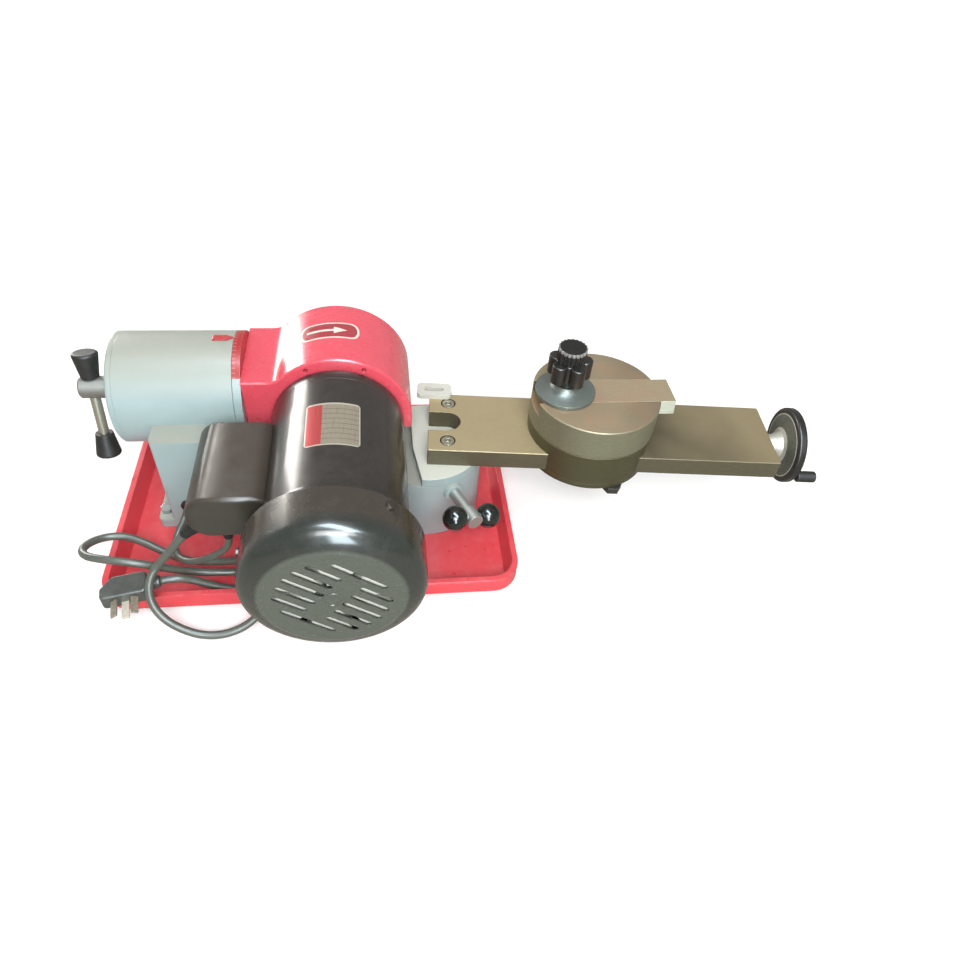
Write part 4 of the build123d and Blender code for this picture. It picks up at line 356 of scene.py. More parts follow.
# Shares: where on a piece a second tone shows, from 0 to 1, with lengths in millimetres
FACE_DEPTHS = (0.5, 1.5)  # behind the fan cover's face, over which the face's painted reflection ends
WALL_DEPTHS = (18.5, 28.5)  # behind the same face, over which the wall's tone sets in
LID_CREST = 37  # from the terminal box's left edge to the crest of its lid
LID_CROWN = 9000.0  # how fast the lid's drawn height falls away from the crest, per metre
KNURL_ROOT = 12.7  # from the knurled knob's axis to the foot of its teeth
KNURL_HIGHLIGHT_DEPTHS = (3.4, 2.4)  # under that knob's top, over which the painted highlight on the teeth sets in
WEB_HUB, WEB_RIM = 19, 33  # from the handwheel's axis to where its paint starts and ends
AXIS_BLUR, SIDE_BLUR = 0.4, 0.3  # half the width of a soft border
PIN_MIDDLE_HALF = 4.5  # from the plug's middle to a line between its pins


def fan_face(n):
    """1 on the fan cover's flat face, where a lighter, greener tone is a painted reflection of the floor.
    """
    near, far = ((FAN_FACE_Y + depth) * MM for depth in FACE_DEPTHS)
    return n.span(n.coords()[1], near, far, to_low=1, to_high=0)


def fan_wall(n):
    """1 on the fan cover's straight wall, where the paint is warmer."""
    near, far = ((FAN_FACE_Y + depth) * MM for depth in WALL_DEPTHS)
    return n.span(n.coords()[1], near, far)


def box_crown(n):
    """Height of the terminal box's slightly crowned lid."""
    from_crest = n.math("SUBTRACT", n.coords()[0], (BOX_LEFT_X + LID_CREST) * MM)
    return n.math("MULTIPLY", n.math("POWER", from_crest, 2.0), -LID_CROWN)


def offset(n, at):
    """The way from a place on the object to the point that is shaded."""
    return n.vector("SUBTRACT", n.place, mm(*at))


def beyond(n, at, along, limit):
    """Turns to 1 further than a limit from an axis."""
    reach = n.vector("LENGTH", n.vector("CROSS_PRODUCT", offset(n, at), along))
    return n.span(reach, (limit - AXIS_BLUR) * MM, (limit + AXIS_BLUR) * MM)


def painted_knurl_highlight(n):
    """1 on the knurl's upper teeth, which carry a pale painted highlight."""
    low, high = ((KNOB_TOP_Z - depth) * MM for depth in KNURL_HIGHLIGHT_DEPTHS)
    return n.math("MULTIPLY", beyond(n, KNOB_AT, (0, 0, 1), KNURL_ROOT), n.span(n.coords()[2], low, high))


def web_paint(n):
    """1 on the handwheel's painted dish, between the bright hub and the rubbed line by the rim."""
    return n.math("SUBTRACT", beyond(n, LEAD_SCREW_AT, ARM_ALONG, WEB_HUB),
                  beyond(n, LEAD_SCREW_AT, ARM_ALONG, WEB_RIM))


def outer_pins(n):
    """1 further from the plug's middle than the middle pin reaches."""
    sideways = n.vector("DOT_PRODUCT", offset(n, PLUG_AT), PLUG_ACROSS)
    return n.span(n.math("ABSOLUTE", sideways), (PIN_MIDDLE_HALF - SIDE_BLUR) * MM,
                  (PIN_MIDDLE_HALF + SIDE_BLUR) * MM)


# Paints
RED = (0.735, 0.084, 0.119)
GREY = (0.318, 0.425, 0.428)
red_paint = paint("red_paint", RED, (0.42, 0.035, 0.05), rough=0.26, coat=0.4, tone=0.07,
                  dust_share=0.03, peel=0.05)
pointer_paint = paint("pointer_paint", (0.50, 0.045, 0.05), (0.60, 0.12, 0.12), rough=0.34, coat=0.1,
                      tone=0.07, dust_share=0.03, peel=0.05)
tray_paint = paint("tray_paint", (0.74, 0.062, 0.078), (0.84, 0.26, 0.27), rough=0.34, coat=0.25,
                   dust=(0.80, 0.42, 0.40), dust_share=0.1, tone=0.08)
grey_paint = paint("grey_paint", GREY, (0.36, 0.38, 0.37), rough=0.42, coat=0.12, peel=0.25, wear=0.35,
                   tone=0.08, dust_share=0.1, tints_and_painted_light=((Nodes.upward, (0.342, 0.365, 0.318)),))
# The swivel plate's top faces carry a pale painted sheen.
plate_sheen_paint = paint("plate_sheen_paint", GREY, (0.36, 0.38, 0.37), rough=0.42, coat=0.12, peel=0.25, wear=0.35,
                    tone=0.08, tints_and_painted_light=((Nodes.upward, (0.60, 0.63, 0.56)),))
black_paint = paint("black_paint", (0.024, 0.0175, 0.0125), (0.12, 0.10, 0.085), rough=0.36, coat=0.42,
                    dust_share=0.02, peel=0.06, wear=0.25, tone=0.3)
# The terminal box's top faces carry a warmer, lighter painted sheen.
box_paint = paint("box_paint", (0.036, 0.033, 0.025), (0.13, 0.12, 0.10), rough=0.36, coat=0.25,
                  dust_share=0.015, peel=0.04, wear=0.3, tone=0.1, emboss=box_crown,
                  tints_and_painted_light=((Nodes.upward, (0.060, 0.047, 0.035)),))
# The fan cover's flat face carries a lighter, greener painted reflection of the floor.
cover_paint = paint("cover_paint", (0.022, 0.027, 0.022), (0.14, 0.15, 0.13), rough=0.25, coat=0.5,
                    dust=(0.2, 0.2, 0.17), dust_share=0.03, peel=0.06, wear=0.1, tone=0.2,
                    tints_and_painted_light=((fan_face, (0.066, 0.080, 0.064)), (fan_wall, (0.040, 0.031, 0.023))))

# Metals
bare_steel = metal("bare_steel", (0.37, 0.30, 0.19), (0.36, 0.20, 0.12), rough=0.46, grain=(2, 50, 50),
                   metallic=0.4, scratch=0.12, patch=30, walls=(0.55, 0.58, 0.46))
# The rail's side faces are painted shade, and so is the band that darkens it along x beside and past the
# turntable, partly an oily film.
rail_steel = metal("rail_steel", (0.405, 0.33, 0.185), (0.32, 0.24, 0.13), rough=0.46, grain=(2, 50, 50),
                   metallic=0.4, turn=(0, 0, ARM_TURN), scratch=0.12, walls=(0.115, 0.102, 0.060),
                   stain_and_shade=(225, 345, 0.97, 455, 0.3))
# The turntable's side faces are painted shade, darker than its top.
turned_steel = metal("turned_steel", (0.33, 0.265, 0.17), (0.37, 0.21, 0.11), rough=0.44, grain=(6, 6, 70),
                     metallic=0.4, tint_share=0.7, patch=26, scratch=0.1, walls=(0.205, 0.20, 0.125),
                     stain_and_shade=(255, 345, 0.5, 400, 0.5))
# A darker copy of the steel, painted shade for the slide under the turntable, with darker side faces still.
shaded_slide_metal = metal("shaded_slide_metal", (0.25, 0.21, 0.125), (0.20, 0.15, 0.08), rough=0.42, grain=(6, 6, 70),
                    metallic=0.4, scratch=0.1, walls=(0.080, 0.074, 0.032))
bright_steel = metal("bright_steel", (0.63, 0.62, 0.58), (0.5, 0.46, 0.4), rough=0.26, grain=(8, 8, 60))
bar_steel = metal("bar_steel", (0.42, 0.41, 0.33), (0.30, 0.28, 0.21), rough=0.34, grain=(12, 12, 12),
                  metallic=0.8)
screw_steel = metal("screw_steel", (0.33, 0.31, 0.24), (0.22, 0.18, 0.13), rough=0.4, grain=(15, 15, 15),
                    metallic=0.7)
hub_steel = metal("hub_steel", (0.30, 0.30, 0.275), (0.22, 0.21, 0.18), rough=0.42, grain=(12, 12, 12),
                  metallic=0.8)
satin_steel = metal("satin_steel", (0.42, 0.42, 0.39), (0.34, 0.32, 0.28), rough=0.42, grain=(12, 12, 12),
                    metallic=0.8)
zinc = metal("zinc", (0.50, 0.54, 0.54), (0.40, 0.43, 0.40), rough=0.3, grain=(20, 20, 20), patch=60)
dull_zinc = metal("dull_zinc", (0.16, 0.182, 0.162), (0.11, 0.125, 0.105), rough=0.38, grain=(20, 20, 20),
                  patch=50, metallic=0.5)
black_oxide = metal("black_oxide", (0.10, 0.10, 0.095), (0.22, 0.15, 0.1), rough=0.4, grain=(15, 15, 15))
brass = metal("brass", (0.72, 0.60, 0.38), (0.55, 0.45, 0.3), rough=0.28, grain=(12, 12, 12))
cast_alloy = metal("cast_alloy", (0.62, 0.61, 0.57), (0.45, 0.43, 0.38), rough=0.38, grain=(14, 14, 14))
web_look = two_tone("handwheel_casting", (0.50, 0.48, 0.41), (0.118, 0.122, 0.092), web_paint, rough=0.52)
# The knob is black; the pale tone on its upper teeth is a painted highlight.
knurl_look = two_tone("knurled_cap", (0.018, 0.018, 0.016), (0.36, 0.36, 0.34), painted_knurl_highlight)
pin_look = two_tone("pin_plating", (0.74, 0.70, 0.58), (0.40, 0.35, 0.27), outer_pins)
copper_iron = laminated("copper_iron")

# Plastics, rubber and grit
black_plastic = moulded("black_plastic", (0.012, 0.011, 0.0085), (0.055, 0.052, 0.044), rough=0.34,
                        coat=0.1)
grip_rubber = moulded("grip_rubber", (0.012, 0.0115, 0.0085), (0.05, 0.05, 0.04), rough=0.5, strength=0.2)
gloss_ball = moulded("gloss_ball", (0.010, 0.013, 0.011), (0.06, 0.065, 0.06), rough=0.12, strength=0.03,
                     coat=0.15, specks=0.1)
white_plastic = moulded("white_plastic", (0.55, 0.57, 0.51), (0.46, 0.46, 0.40), rough=0.45)
cord_rubber = moulded("cord_rubber", (0.090, 0.100, 0.082), (0.155, 0.165, 0.14), rough=0.36, grain=500)
gland_plastic = moulded("gland_plastic", (0.006, 0.006, 0.005), (0.03, 0.03, 0.027), rough=0.6,
                        specks=0.15)
plug_plastic = moulded("plug_plastic", (0.060, 0.066, 0.058), (0.15, 0.155, 0.14), rough=0.36, grain=500)
fan_plastic = moulded("fan_plastic", (0.70, 0.72, 0.66), (0.78, 0.79, 0.74), rough=0.5)
field_red = moulded("field_red", (0.36, 0.040, 0.050), (0.50, 0.10, 0.11), rough=0.3, strength=0.05)
plate_cream = moulded("plate_cream", (0.74, 0.70, 0.62), (0.62, 0.50, 0.46), rough=0.4, strength=0.05)
rocker_plastic = moulded("rocker_red", (0.55, 0.02, 0.02), (0.65, 0.2, 0.18), rough=0.35)
abrasive = gritty("abrasive")

# Tilt scale
SCALE_HALF = 0.80  # half the red band, in radians round the barrel
MARK_EVERY = math.radians(5)
MARK_HALF = 0.009
MARK_LENGTH = 3.2
MARK_SHARE = 0.22


def scale_paint():
    """The ring's upper half carries a plain red graduated band; below it is the casting's grey."""
    made, n, shader = new_material("scale_paint")
    x, y, z = n.coords()
    around = n.math("ARCTAN2", n.math("SUBTRACT", y, BARREL_Y * MM), n.math("SUBTRACT", z, BARREL_Z * MM))
    banded = n.math("LESS_THAN", n.math("ABSOLUTE", around), SCALE_HALF)
    beat = n.math("PINGPONG", n.math("ADD", around, 10 * MARK_EVERY), MARK_EVERY / 2)
    marks = n.math("MULTIPLY", n.math("LESS_THAN", beat, MARK_HALF),
                   n.math("LESS_THAN", x, (SCALE_LEFT_X + MARK_LENGTH) * MM))
    base = n.mix(n.drift(scale=40), (0.37, 0.018, 0.018), (0.44, 0.025, 0.024))
    base = n.mix(n.math("MULTIPLY", marks, MARK_SHARE), base, (0.86, 0.70, 0.66))
    base = n.mix(banded, GREY, base)
    rim, rounded = n.edges(radius=0.8 * MM)
    base = n.mix(n.math("MULTIPLY", rim, 0.3), base, (0.75, 0.7, 0.68))
    gloss = n.drift(scale=70, detail=4, to_low=0.26, to_high=0.42)
    normal = n.bump(n.noise(scale=700, detail=2), strength=0.1, distance=0.4 * MM, normal=rounded)
    finish_material(n, shader, base, gloss, normal, coat=0.2)
    return made


scale_look = scale_paint()

# Rating plate: its stretch in degrees round the motor and in y, and the panel inside its pale border
PLATE_ANGLES = (68.5, 111.0)
PLATE_Y = (-103.5, -49.5)
PLATE_CORNER, PLATE_LIFT, PLATE_THICK = 2.5, 0.05, 0.35
PLATE_BEND = MOTOR_RADIUS + PLATE_LIFT + PLATE_THICK / 2
PANEL_Y, PANEL_HALF, PANEL_BLUR = -77, 25.2, 0.4
PANEL_HALF_ANGLE, PANEL_BLUR_ANGLE = 20.2, 0.3
RED_FROM_ANGLE = 98
RULE_EVERY, RULE_HALF = 6.4, 0.35


def plate_metal():
    """A blank plate with a red band, a pale border and ruled lines."""
    made, n, shader = new_material("plate_metal")
    x, y, z = n.coords()
    around = n.math("ARCTAN2", n.math("SUBTRACT", z, MOTOR_Z * MM), n.math("SUBTRACT", x, MOTOR_X * MM))
    grain = n.noise(scale=60, detail=4, rough=0.6, vector=n.stretched((40, 1, 40), (0, 0, 0)))
    base = n.mix(n.span(grain, *USUAL_SPREAD), (0.27, 0.235, 0.175), (0.35, 0.31, 0.24))
    rules = n.math("LESS_THAN", n.math("PINGPONG", y, RULE_EVERY / 2 * MM), RULE_HALF * MM)
    base = n.mix(rules, base, (0.17, 0.14, 0.11))
    base = n.mix(n.math("GREATER_THAN", around, math.radians(RED_FROM_ANGLE)), base, (0.45, 0.058, 0.060))
    off_y = n.math("ABSOLUTE", n.math("SUBTRACT", y, PANEL_Y * MM))
    off_angle = n.math("ABSOLUTE", n.math("SUBTRACT", around, math.radians(sum(PLATE_ANGLES) / 2)))
    border = n.math("MAXIMUM", n.span(off_y, PANEL_HALF * MM, (PANEL_HALF + PANEL_BLUR) * MM),
                    n.span(off_angle, math.radians(PANEL_HALF_ANGLE),
                           math.radians(PANEL_HALF_ANGLE + PANEL_BLUR_ANGLE)))
    base = n.mix(border, base, (0.52, 0.48, 0.40))
    gloss = n.span(grain, *USUAL_SPREAD, to_low=0.26, to_high=0.42)
    normal = n.bump(grain, strength=0.08, distance=0.2 * MM)
    finish_material(n, shader, base, gloss, normal, metallic=0.35)
    return made


# Looks of the CAD nodes
LOOKS = {
    tray_paint: ["drip_tray"],
    red_paint: ["wheel_guard", "guard_cover"],
    pointer_paint: ["tilt_pointer"],
    grey_paint: ["head_column", "barrel_end_cap", "arm_pedestal"],
    plate_sheen_paint: ["swivel_plate"],
    black_paint: ["motor_frame", "motor_flange", "rear_shield"],
    box_paint: ["terminal_box"],
    cover_paint: ["fan_cover"],
    scale_look: ["scale_ring"],
    bare_steel: ["blade_bar"],
    rail_steel: ["arm_rail"],
    turned_steel: ["turntable"],
    shaded_slide_metal: ["slide_body", "slide_keeper"],
    bright_steel: ["feed_screw", "quill", "tilt_spigot", "rotor_shaft", "lead_screw",
                   "blade_spindle", "motor_bearings"],
    bar_steel: ["cross_bar"],
    hub_steel: ["crank_hub"],
    satin_steel: ["clamp_lever", "swivel_pivot"],
    zinc: ["floor_bolts", "wheel_nut", "wheel_flanges"],
    dull_zinc: ["clamp_cone"],
    screw_steel: ["rail_screws"],
    black_oxide: ["slide_lock_screw", "fan_cover_screws"],
    web_look: ["handwheel_web"],
    knurl_look: ["knurled_knob"],
    pin_look: ["plug_pins"],
    brass: ["feed_nut", "lead_nut"],
    cast_alloy: ["capacitor"],
    copper_iron: ["stator", "rotor_core"],
    black_plastic: ["star_knob", "handwheel_rim", "switch_bezel"],
    gland_plastic: ["cable_glands", "lead_grommet"],
    grip_rubber: ["crank_grips", "handwheel_grip"],
    gloss_ball: ["clamp_knobs"],
    white_plastic: ["tooth_stop"],
    cord_rubber: ["power_cord", "switch_lead"],
    plug_plastic: ["plug_body"],
    fan_plastic: ["cooling_fan"],
    rocker_plastic: ["switch_rocker"],
    abrasive: ["grinding_wheel"],
}


def dress(piece, look):
    piece.data.materials.clear()
    piece.data.materials.append(look)


for look, names in LOOKS.items():
    for node in names:
        dress(NODES[node], look)
assert not set(NODES) - {n for names in LOOKS.values() for n in names}


# Forms: rows of corners with walls between them
def skin(form, rows, closed=False, caps=("start", "end")):
    """Walls between successive rows. A closed run joins up; an open one gets a cap on each named end."""
    following = rows[1:] + rows[:1] if closed else rows[1:]
    for one, two in zip(rows, following):
        for k in range(len(one)):
            j = (k + 1) % len(one)
            form.faces.new((one[k], one[j], two[j], two[k]))
    if closed:
        return
    if "start" in caps:
        form.faces.new(rows[0][::-1])
    if "end" in caps:
        form.faces.new(rows[-1])


def link_form(name, form, look, smooth=True):
    mesh = bpy.data.meshes.new(name)
    bmesh.ops.recalc_face_normals(form, faces=form.faces)
    for face in form.faces:
        face.smooth = smooth and len(face.verts) < 5
    form.to_mesh(mesh)
    form.free()
    made = bpy.data.objects.new(name, mesh)
    bpy.context.collection.objects.link(made)
    dress(made, look)
    return made


# Free cords: the route's points steer one smooth spline each
CORD_DIAMETER = 7.5 * MM
LEAD_DIAMETER = 6.5 * MM
CORD_ROUTE = [
    (-100.98, -125, 101.52), (-110.88, -125, 91.62), (-120, -124, 77), (-129.5, -122.3, 64),
    (-138, -122.3, 53.5), (-144.5, -127.6, 46), (-146.8, -138, 40), (-144, -150, 33.5),
    (-134.5, -160, 22.5), (-119, -166.5, 13), (-100, -170, 5.5), (-79, -169, 5), (-59, -161, 9),
    (-43, -148, 21.5), (-34.5, -130, 28.5), (-38.5, -110, 26), (-54, -96, 18.5), (-76, -89, 12),
    (-102, -87, 8.5), (-128, -84.5, 9), (-149, -77, 14), (-169, -68, 21), (-189, -62.5, 26),
    (-208.5, -69, 30), (-217, -86, 37.5), (-209, -103, 45.5), (-189, -111, 49), (-170, -113.5, 47.5),
    (-152, -112.5, 40.5), (-136, -108, 27.5), (-119, -102.5, 14.5), (-98, -100.5, 9), (-76, -98.5, 5.6),
    (-56, -88.5, 5.4), (-38, -75, 5.4), (-18, -67.5, 5.4), (2, -75.5, 5.4), (10, -94.5, 5.4),
    (2, -113, 5.4), (-18, -119.8, 5.4), (-40, -119.5, 5.4), (-65, -119, 5.4), (-85, -118.5, 6.2),
    (-101, -117.5, 12.5), (-115, -117.5, 21.5), (-128.38, -119.9, 29.1), (-142.07, -122.81, 29.1),
]
LEAD_ROUTE = [
    (-72, -118, 90.5), (-72, -118, 76.5), (-79, -116, 62.5), (-91, -112, 49.5), (-105, -107, 37.5),
    (-119, -101, 27.5), (-131.5, -91.5, 22), (-138.5, -78, 21.5), (-138, -62, 24), (-130, -46, 33.5),
    (-130, -32, 33.5),
]
CORD_CUT = mm(-92, -169.5, 5.4)
LEAD_CUT = mm(-132, -90, 22.2)


def spline_points(name, route):
    """The points of the route's own NURBS line."""
    curve = bpy.data.curves.new(name, "CURVE")
    curve.dimensions = "3D"
    curve.resolution_u = 10
    spline = curve.splines.new("NURBS")
    spline.points.add(len(route) - 1)
    for point, place in zip(spline.points, route):
        point.co = (*mm(*place), 1.0)
    spline.order_u = 3
    spline.use_endpoint_u = True
    carrier = bpy.data.objects.new(name, curve)
    line = bpy.data.meshes.new_from_object(carrier)
    points = [v.co.copy() for v in line.vertices]
    bpy.data.meshes.remove(line)
    bpy.data.curves.remove(curve)
    return points


def carried(line):
    """A side direction at each point, carried along the line without twist."""
    side = (line[1] - line[0]).orthogonal().normalized()
    frames = []
    for i, place in enumerate(line):
        run = (line[min(i + 1, len(line) - 1)] - line[max(i - 1, 0)]).normalized()
        side = (side - run * side.dot(run)).normalized()
        frames.append((place, side, run.cross(side)))
    return frames


def tube(name, frames, radius, cap, sides=16):
    """A round tube along carried frames; the cut between two halves of one cord stays open."""
    form = bmesh.new()
    turns = [2 * math.pi * k / sides for k in range(sides)]
    rings = [[form.verts.new(p + (u * math.cos(t) + v * math.sin(t)) * radius) for t in turns]
             for p, u, v in frames]
    skin(form, rings, caps=(cap,))
    return link_form(name, form, cord_rubber)


def nearest(line, place):
    return min(range(len(line)), key=lambda i: (line[i] - place).length)


def two_halves(names, route, diameter, cut):
    """One cord as two tubes that meet at a cut."""
    line = spline_points(names[0], route)
    split = nearest(line, cut)
    frames = carried(line)
    first = tube(names[0], frames[:split + 1], diameter / 2, cap="start")
    second = tube(names[1], frames[split:], diameter / 2, cap="end")
    return first, second, line[:split + 1], line[split:]


cord_drop, cord_run, cord_upper, cord_lower = two_halves(
    ("cord_drop", "cord_run"), CORD_ROUTE, CORD_DIAMETER, CORD_CUT)
lead_drop, lead_run, lead_upper, lead_lower = two_halves(
    ("lead_drop", "lead_run"), LEAD_ROUTE, LEAD_DIAMETER, LEAD_CUT)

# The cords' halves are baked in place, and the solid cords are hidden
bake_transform(cord_drop)
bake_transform(cord_run)
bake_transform(lead_drop)
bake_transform(lead_run)
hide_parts("power_cord")
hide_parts("switch_lead")


# Small pieces that the solids don't carry
def mount(name, form, look, body):
    """A finished form as a piece that rides on a body."""
    made = link_form(name, form, look, smooth=False)
    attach(made, body)


def turned(name, turns, look, body, sides=32):
    """Closed profiles of (radius, distance) turned about their own axes, as one piece."""
    form = bmesh.new()
    for at, along, profile in turns:
        along = Vector(along).normalized()
        side = along.orthogonal().normalized()
        across = along.cross(side)
        rings = []
        for k in range(sides):
            out = side * math.cos(2 * math.pi * k / sides) + across * math.sin(2 * math.pi * k / sides)
            rings.append([form.verts.new(mm(*at) + along * t * MM + out * r * MM) for r, t in profile])
        skin(form, rings, closed=True)
    mount(name, form, look, body)


def from_motor_axis(angle, radius, y):
    """A place round the motor's axis, in millimetres; the angle is in degrees."""
    out = Vector((math.cos(math.radians(angle)), 0, math.sin(math.radians(angle))))
    return Vector((MOTOR_X, y, MOTOR_Z)) + out * radius


def block_row(form, angle, inner, outer, y_low, y_high):
    """Four corners of a block's section through the motor's axis."""
    corners = ((inner, y_low), (outer, y_low), (outer, y_high), (inner, y_high))
    return [form.verts.new(from_motor_axis(angle, radius, y) * MM) for radius, y in corners]


def wrapped(name, stations, radius, thick, look, body):
    """A thin sheet bent round the motor's axis: stations are (degrees, lowest y, highest y)."""
    form = bmesh.new()
    skin(form, [block_row(form, angle, radius, radius + thick, y_low, y_high)
                for angle, y_low, y_high in stations])
    mount(name, form, look, body)


def rounded_label(angles, ends, radius, corner, steps=28):
    """Stations of a bent rectangle with round corners."""
    low, high = angles
    y_low, y_high = ends
    stations = []
    for k in range(steps + 1):
        angle = low + (high - low) * k / steps
        rest = math.radians(min(angle - low, high - angle)) * radius
        short = corner - math.sqrt(max(0.0, corner ** 2 - (corner - min(rest, corner)) ** 2))
        stations.append((angle, y_low + short, y_high - short))
    return stations


# Tray hem
LIP_TOP, LIP_BOTTOM = TRAY_HEIGHT - 1.5, 4.0
LIP_CORNER, LIP_THICK = 27, 1.3


def tray_lip(steps=10):
    """The hem's turned-down edge: a thin closed strip round the tray."""
    form = bmesh.new()
    inner = LIP_CORNER - LIP_THICK
    section = ((LIP_CORNER, LIP_TOP), (LIP_CORNER, LIP_BOTTOM), (inner, LIP_BOTTOM), (inner, LIP_TOP))
    rows = []
    for quarter, (sx, sy) in enumerate(((1, 1), (-1, 1), (-1, -1), (1, -1))):
        at = Vector((sx * (TRAY_WIDTH / 2 - LIP_CORNER), sy * (TRAY_DEPTH / 2 - LIP_CORNER), 0))
        for k in range(steps + 1):
            angle = math.radians(90 * (quarter + k / steps))
            out = Vector((math.cos(angle), math.sin(angle), 0))
            rows.append([form.verts.new((at + out * r + Vector((0, 0, z))) * MM) for r, z in section])
    skin(form, rows, closed=True)
    mount("tray_lip", form, tray_paint, "base")


tray_lip()

# Rating plate
wrapped("rating_plate", rounded_label(PLATE_ANGLES, PLATE_Y, PLATE_BEND, PLATE_CORNER),
        MOTOR_RADIUS + PLATE_LIFT, PLATE_THICK, plate_metal(), "head")

# Arrow label on the hood: a cream border, a red field and a cream arrow, each a sheet on the last
LABEL_ANGLES = (71.5, 117.5)
LABEL_Y = (37.5, 63)
LABEL_CORNER, LABEL_LIFT, LABEL_STEP, LABEL_THICK = 9, 0.02, 0.08, 0.1
LABEL_BEND = HOOD_RADIUS + LABEL_LIFT + LABEL_STEP
INSET_ANGLE, INSET_Y, INSET_CORNER = 1.7, 2, 1
FIELD_ANGLES = (LABEL_ANGLES[0] + INSET_ANGLE, LABEL_ANGLES[1] - INSET_ANGLE)
FIELD_Y = (LABEL_Y[0] + INSET_Y, LABEL_Y[1] - INSET_Y)
FIELD_CORNER = LABEL_CORNER - INSET_CORNER
ARROW_Y = 50.3
SHAFT_ANGLES, SHAFT_HALF = (112, 91), 1.6
HEAD_ANGLES, HEAD_HALF, TIP_HALF = (90.9, 80.9), 5.2, 0.1


def arrow_stations(shaft_steps=10, head_steps=8):
    """A plain arrow along the hood: a shaft, then a head that narrows to its tip."""
    stations = []
    for k in range(shaft_steps + 1):
        angle = SHAFT_ANGLES[0] + (SHAFT_ANGLES[1] - SHAFT_ANGLES[0]) * k / shaft_steps
        stations.append((angle, ARROW_Y - SHAFT_HALF, ARROW_Y + SHAFT_HALF))
    for k in range(head_steps + 1):
        angle = HEAD_ANGLES[0] + (HEAD_ANGLES[1] - HEAD_ANGLES[0]) * k / head_steps
        half = HEAD_HALF * (1 - k / head_steps) + TIP_HALF
        stations.append((angle, ARROW_Y - half, ARROW_Y + half))
    return stations


border = rounded_label(LABEL_ANGLES, LABEL_Y, LABEL_BEND, LABEL_CORNER)
field = rounded_label(FIELD_ANGLES, FIELD_Y, LABEL_BEND, FIELD_CORNER)
ARROW_SHEETS = [
    ("arrow_border", border, plate_cream, "white_plastic"),
    ("arrow_field", field, field_red, "red_paint"),
    ("arrow_mark", arrow_stations(), plate_cream, "white_plastic"),
]
for layer, (name, stations, look, slot) in enumerate(ARROW_SHEETS):
    wrapped(name, stations, HOOD_RADIUS + LABEL_LIFT + layer * LABEL_STEP, LABEL_THICK, look, "head")

# Fan vanes, seen behind the cover's slots
VANE_COUNT, VANE_SHARE = 6, 0.74
VANE_INNER, VANE_OUTER = 15, 49
VANE_FRONT_Y, VANE_BACK_Y = FAN_FACE_Y + 3.2, FAN_FRONT_Y + 1


def fan_vanes(steps=8):
    form = bmesh.new()
    for vane in range(VANE_COUNT):
        angles = [360 / VANE_COUNT * (vane + VANE_SHARE * k / steps) for k in range(steps + 1)]
        skin(form, [block_row(form, angle, VANE_INNER, VANE_OUTER, VANE_FRONT_Y, VANE_BACK_Y)
                    for angle in angles])
    mount("fan_vanes", form, fan_plastic, "rotor")


fan_vanes()

# Pressed ring in the middle of the fan cover's face
RING_INNER, RING_OUTER, RING_SLOPE = 6.1, 8.9, 0.6
RING_SINK, RING_RISE = -0.3, 0.45
FACE_RING = [(RING_INNER, RING_SINK), (RING_INNER + RING_SLOPE, RING_RISE),
             (RING_OUTER - RING_SLOPE, RING_RISE), (RING_OUTER, RING_SINK)]
turned("fan_face_ring", [((MOTOR_X, FAN_FACE_Y, MOTOR_Z), (0, -1, 0), FACE_RING)], cover_paint, "head",
       sides=48)

# Socket screws of the guard's rear cover; the profile keeps a hair's breadth from its own axis
SCREW_ANGLES = (35, 80, 125)
SCREW_CIRCLE, SCREW_SINK = 68.3, 0.05
SCREW_RADIUS, SCREW_HEIGHT, SCREW_CHAMFER = 2.5, 2.4, 0.5
SOCKET_RADIUS, SOCKET_FLOOR = 1.25, 1.0
HAIR = 0.02
SCREW = [
    (HAIR, 0), (SCREW_RADIUS, 0), (SCREW_RADIUS, SCREW_HEIGHT - SCREW_CHAMFER),
    (SCREW_RADIUS - SCREW_CHAMFER, SCREW_HEIGHT), (SOCKET_RADIUS, SCREW_HEIGHT),
    (SOCKET_RADIUS, SOCKET_FLOOR), (HAIR, SOCKET_FLOOR),
]
turned("guard_cover_screws", [
    (from_motor_axis(angle, SCREW_CIRCLE, HOOD_BACK_Y - SCREW_SINK), (0, 1, 0), SCREW)
    for angle in SCREW_ANGLES
], black_oxide, "head", sides=24)

# Glands: a tapered boot where each cord leaves, and a nut by the box. Foot, neck, inner and outer are radii
CORD_OUT = (-math.sqrt(0.5), 0, -math.sqrt(0.5))
LEAD_OUT = (0, 0, -1)
BOOT_LENGTH, BOOT_SHOULDER = 7.5, 1.5
BOOT_FOOT, BOOT_NECK, BOOT_WALL, BOOT_GAP = 5.4, 5.2, 0.45, 0.3
NUT_INNER, NUT_OUTER, NUT_BACK, NUT_FRONT = 6.0, 9.0, -14.2, -10.4
GLAND_NUT = [(NUT_INNER, NUT_BACK), (NUT_OUTER, NUT_BACK), (NUT_OUTER, NUT_FRONT), (NUT_INNER, NUT_FRONT)]


def boot(diameter):
    """Profile of a boot round a cord."""
    bore = diameter / MM / 2 + BOOT_GAP
    return [(bore, HAIR), (BOOT_FOOT, HAIR), (BOOT_NECK, BOOT_SHOULDER), (bore + BOOT_WALL, BOOT_LENGTH),
            (bore, BOOT_LENGTH)]


turned("gland_boots", [
    (CORD_ROUTE[0], CORD_OUT, boot(CORD_DIAMETER)),
    (LEAD_ROUTE[0], LEAD_OUT, boot(LEAD_DIAMETER)),
], gland_plastic, "head", sides=24)
turned("gland_nuts", [
    (CORD_ROUTE[0], CORD_OUT, GLAND_NUT),
    (LEAD_ROUTE[0], LEAD_OUT, GLAND_NUT),
], gland_plastic, "head", sides=6)

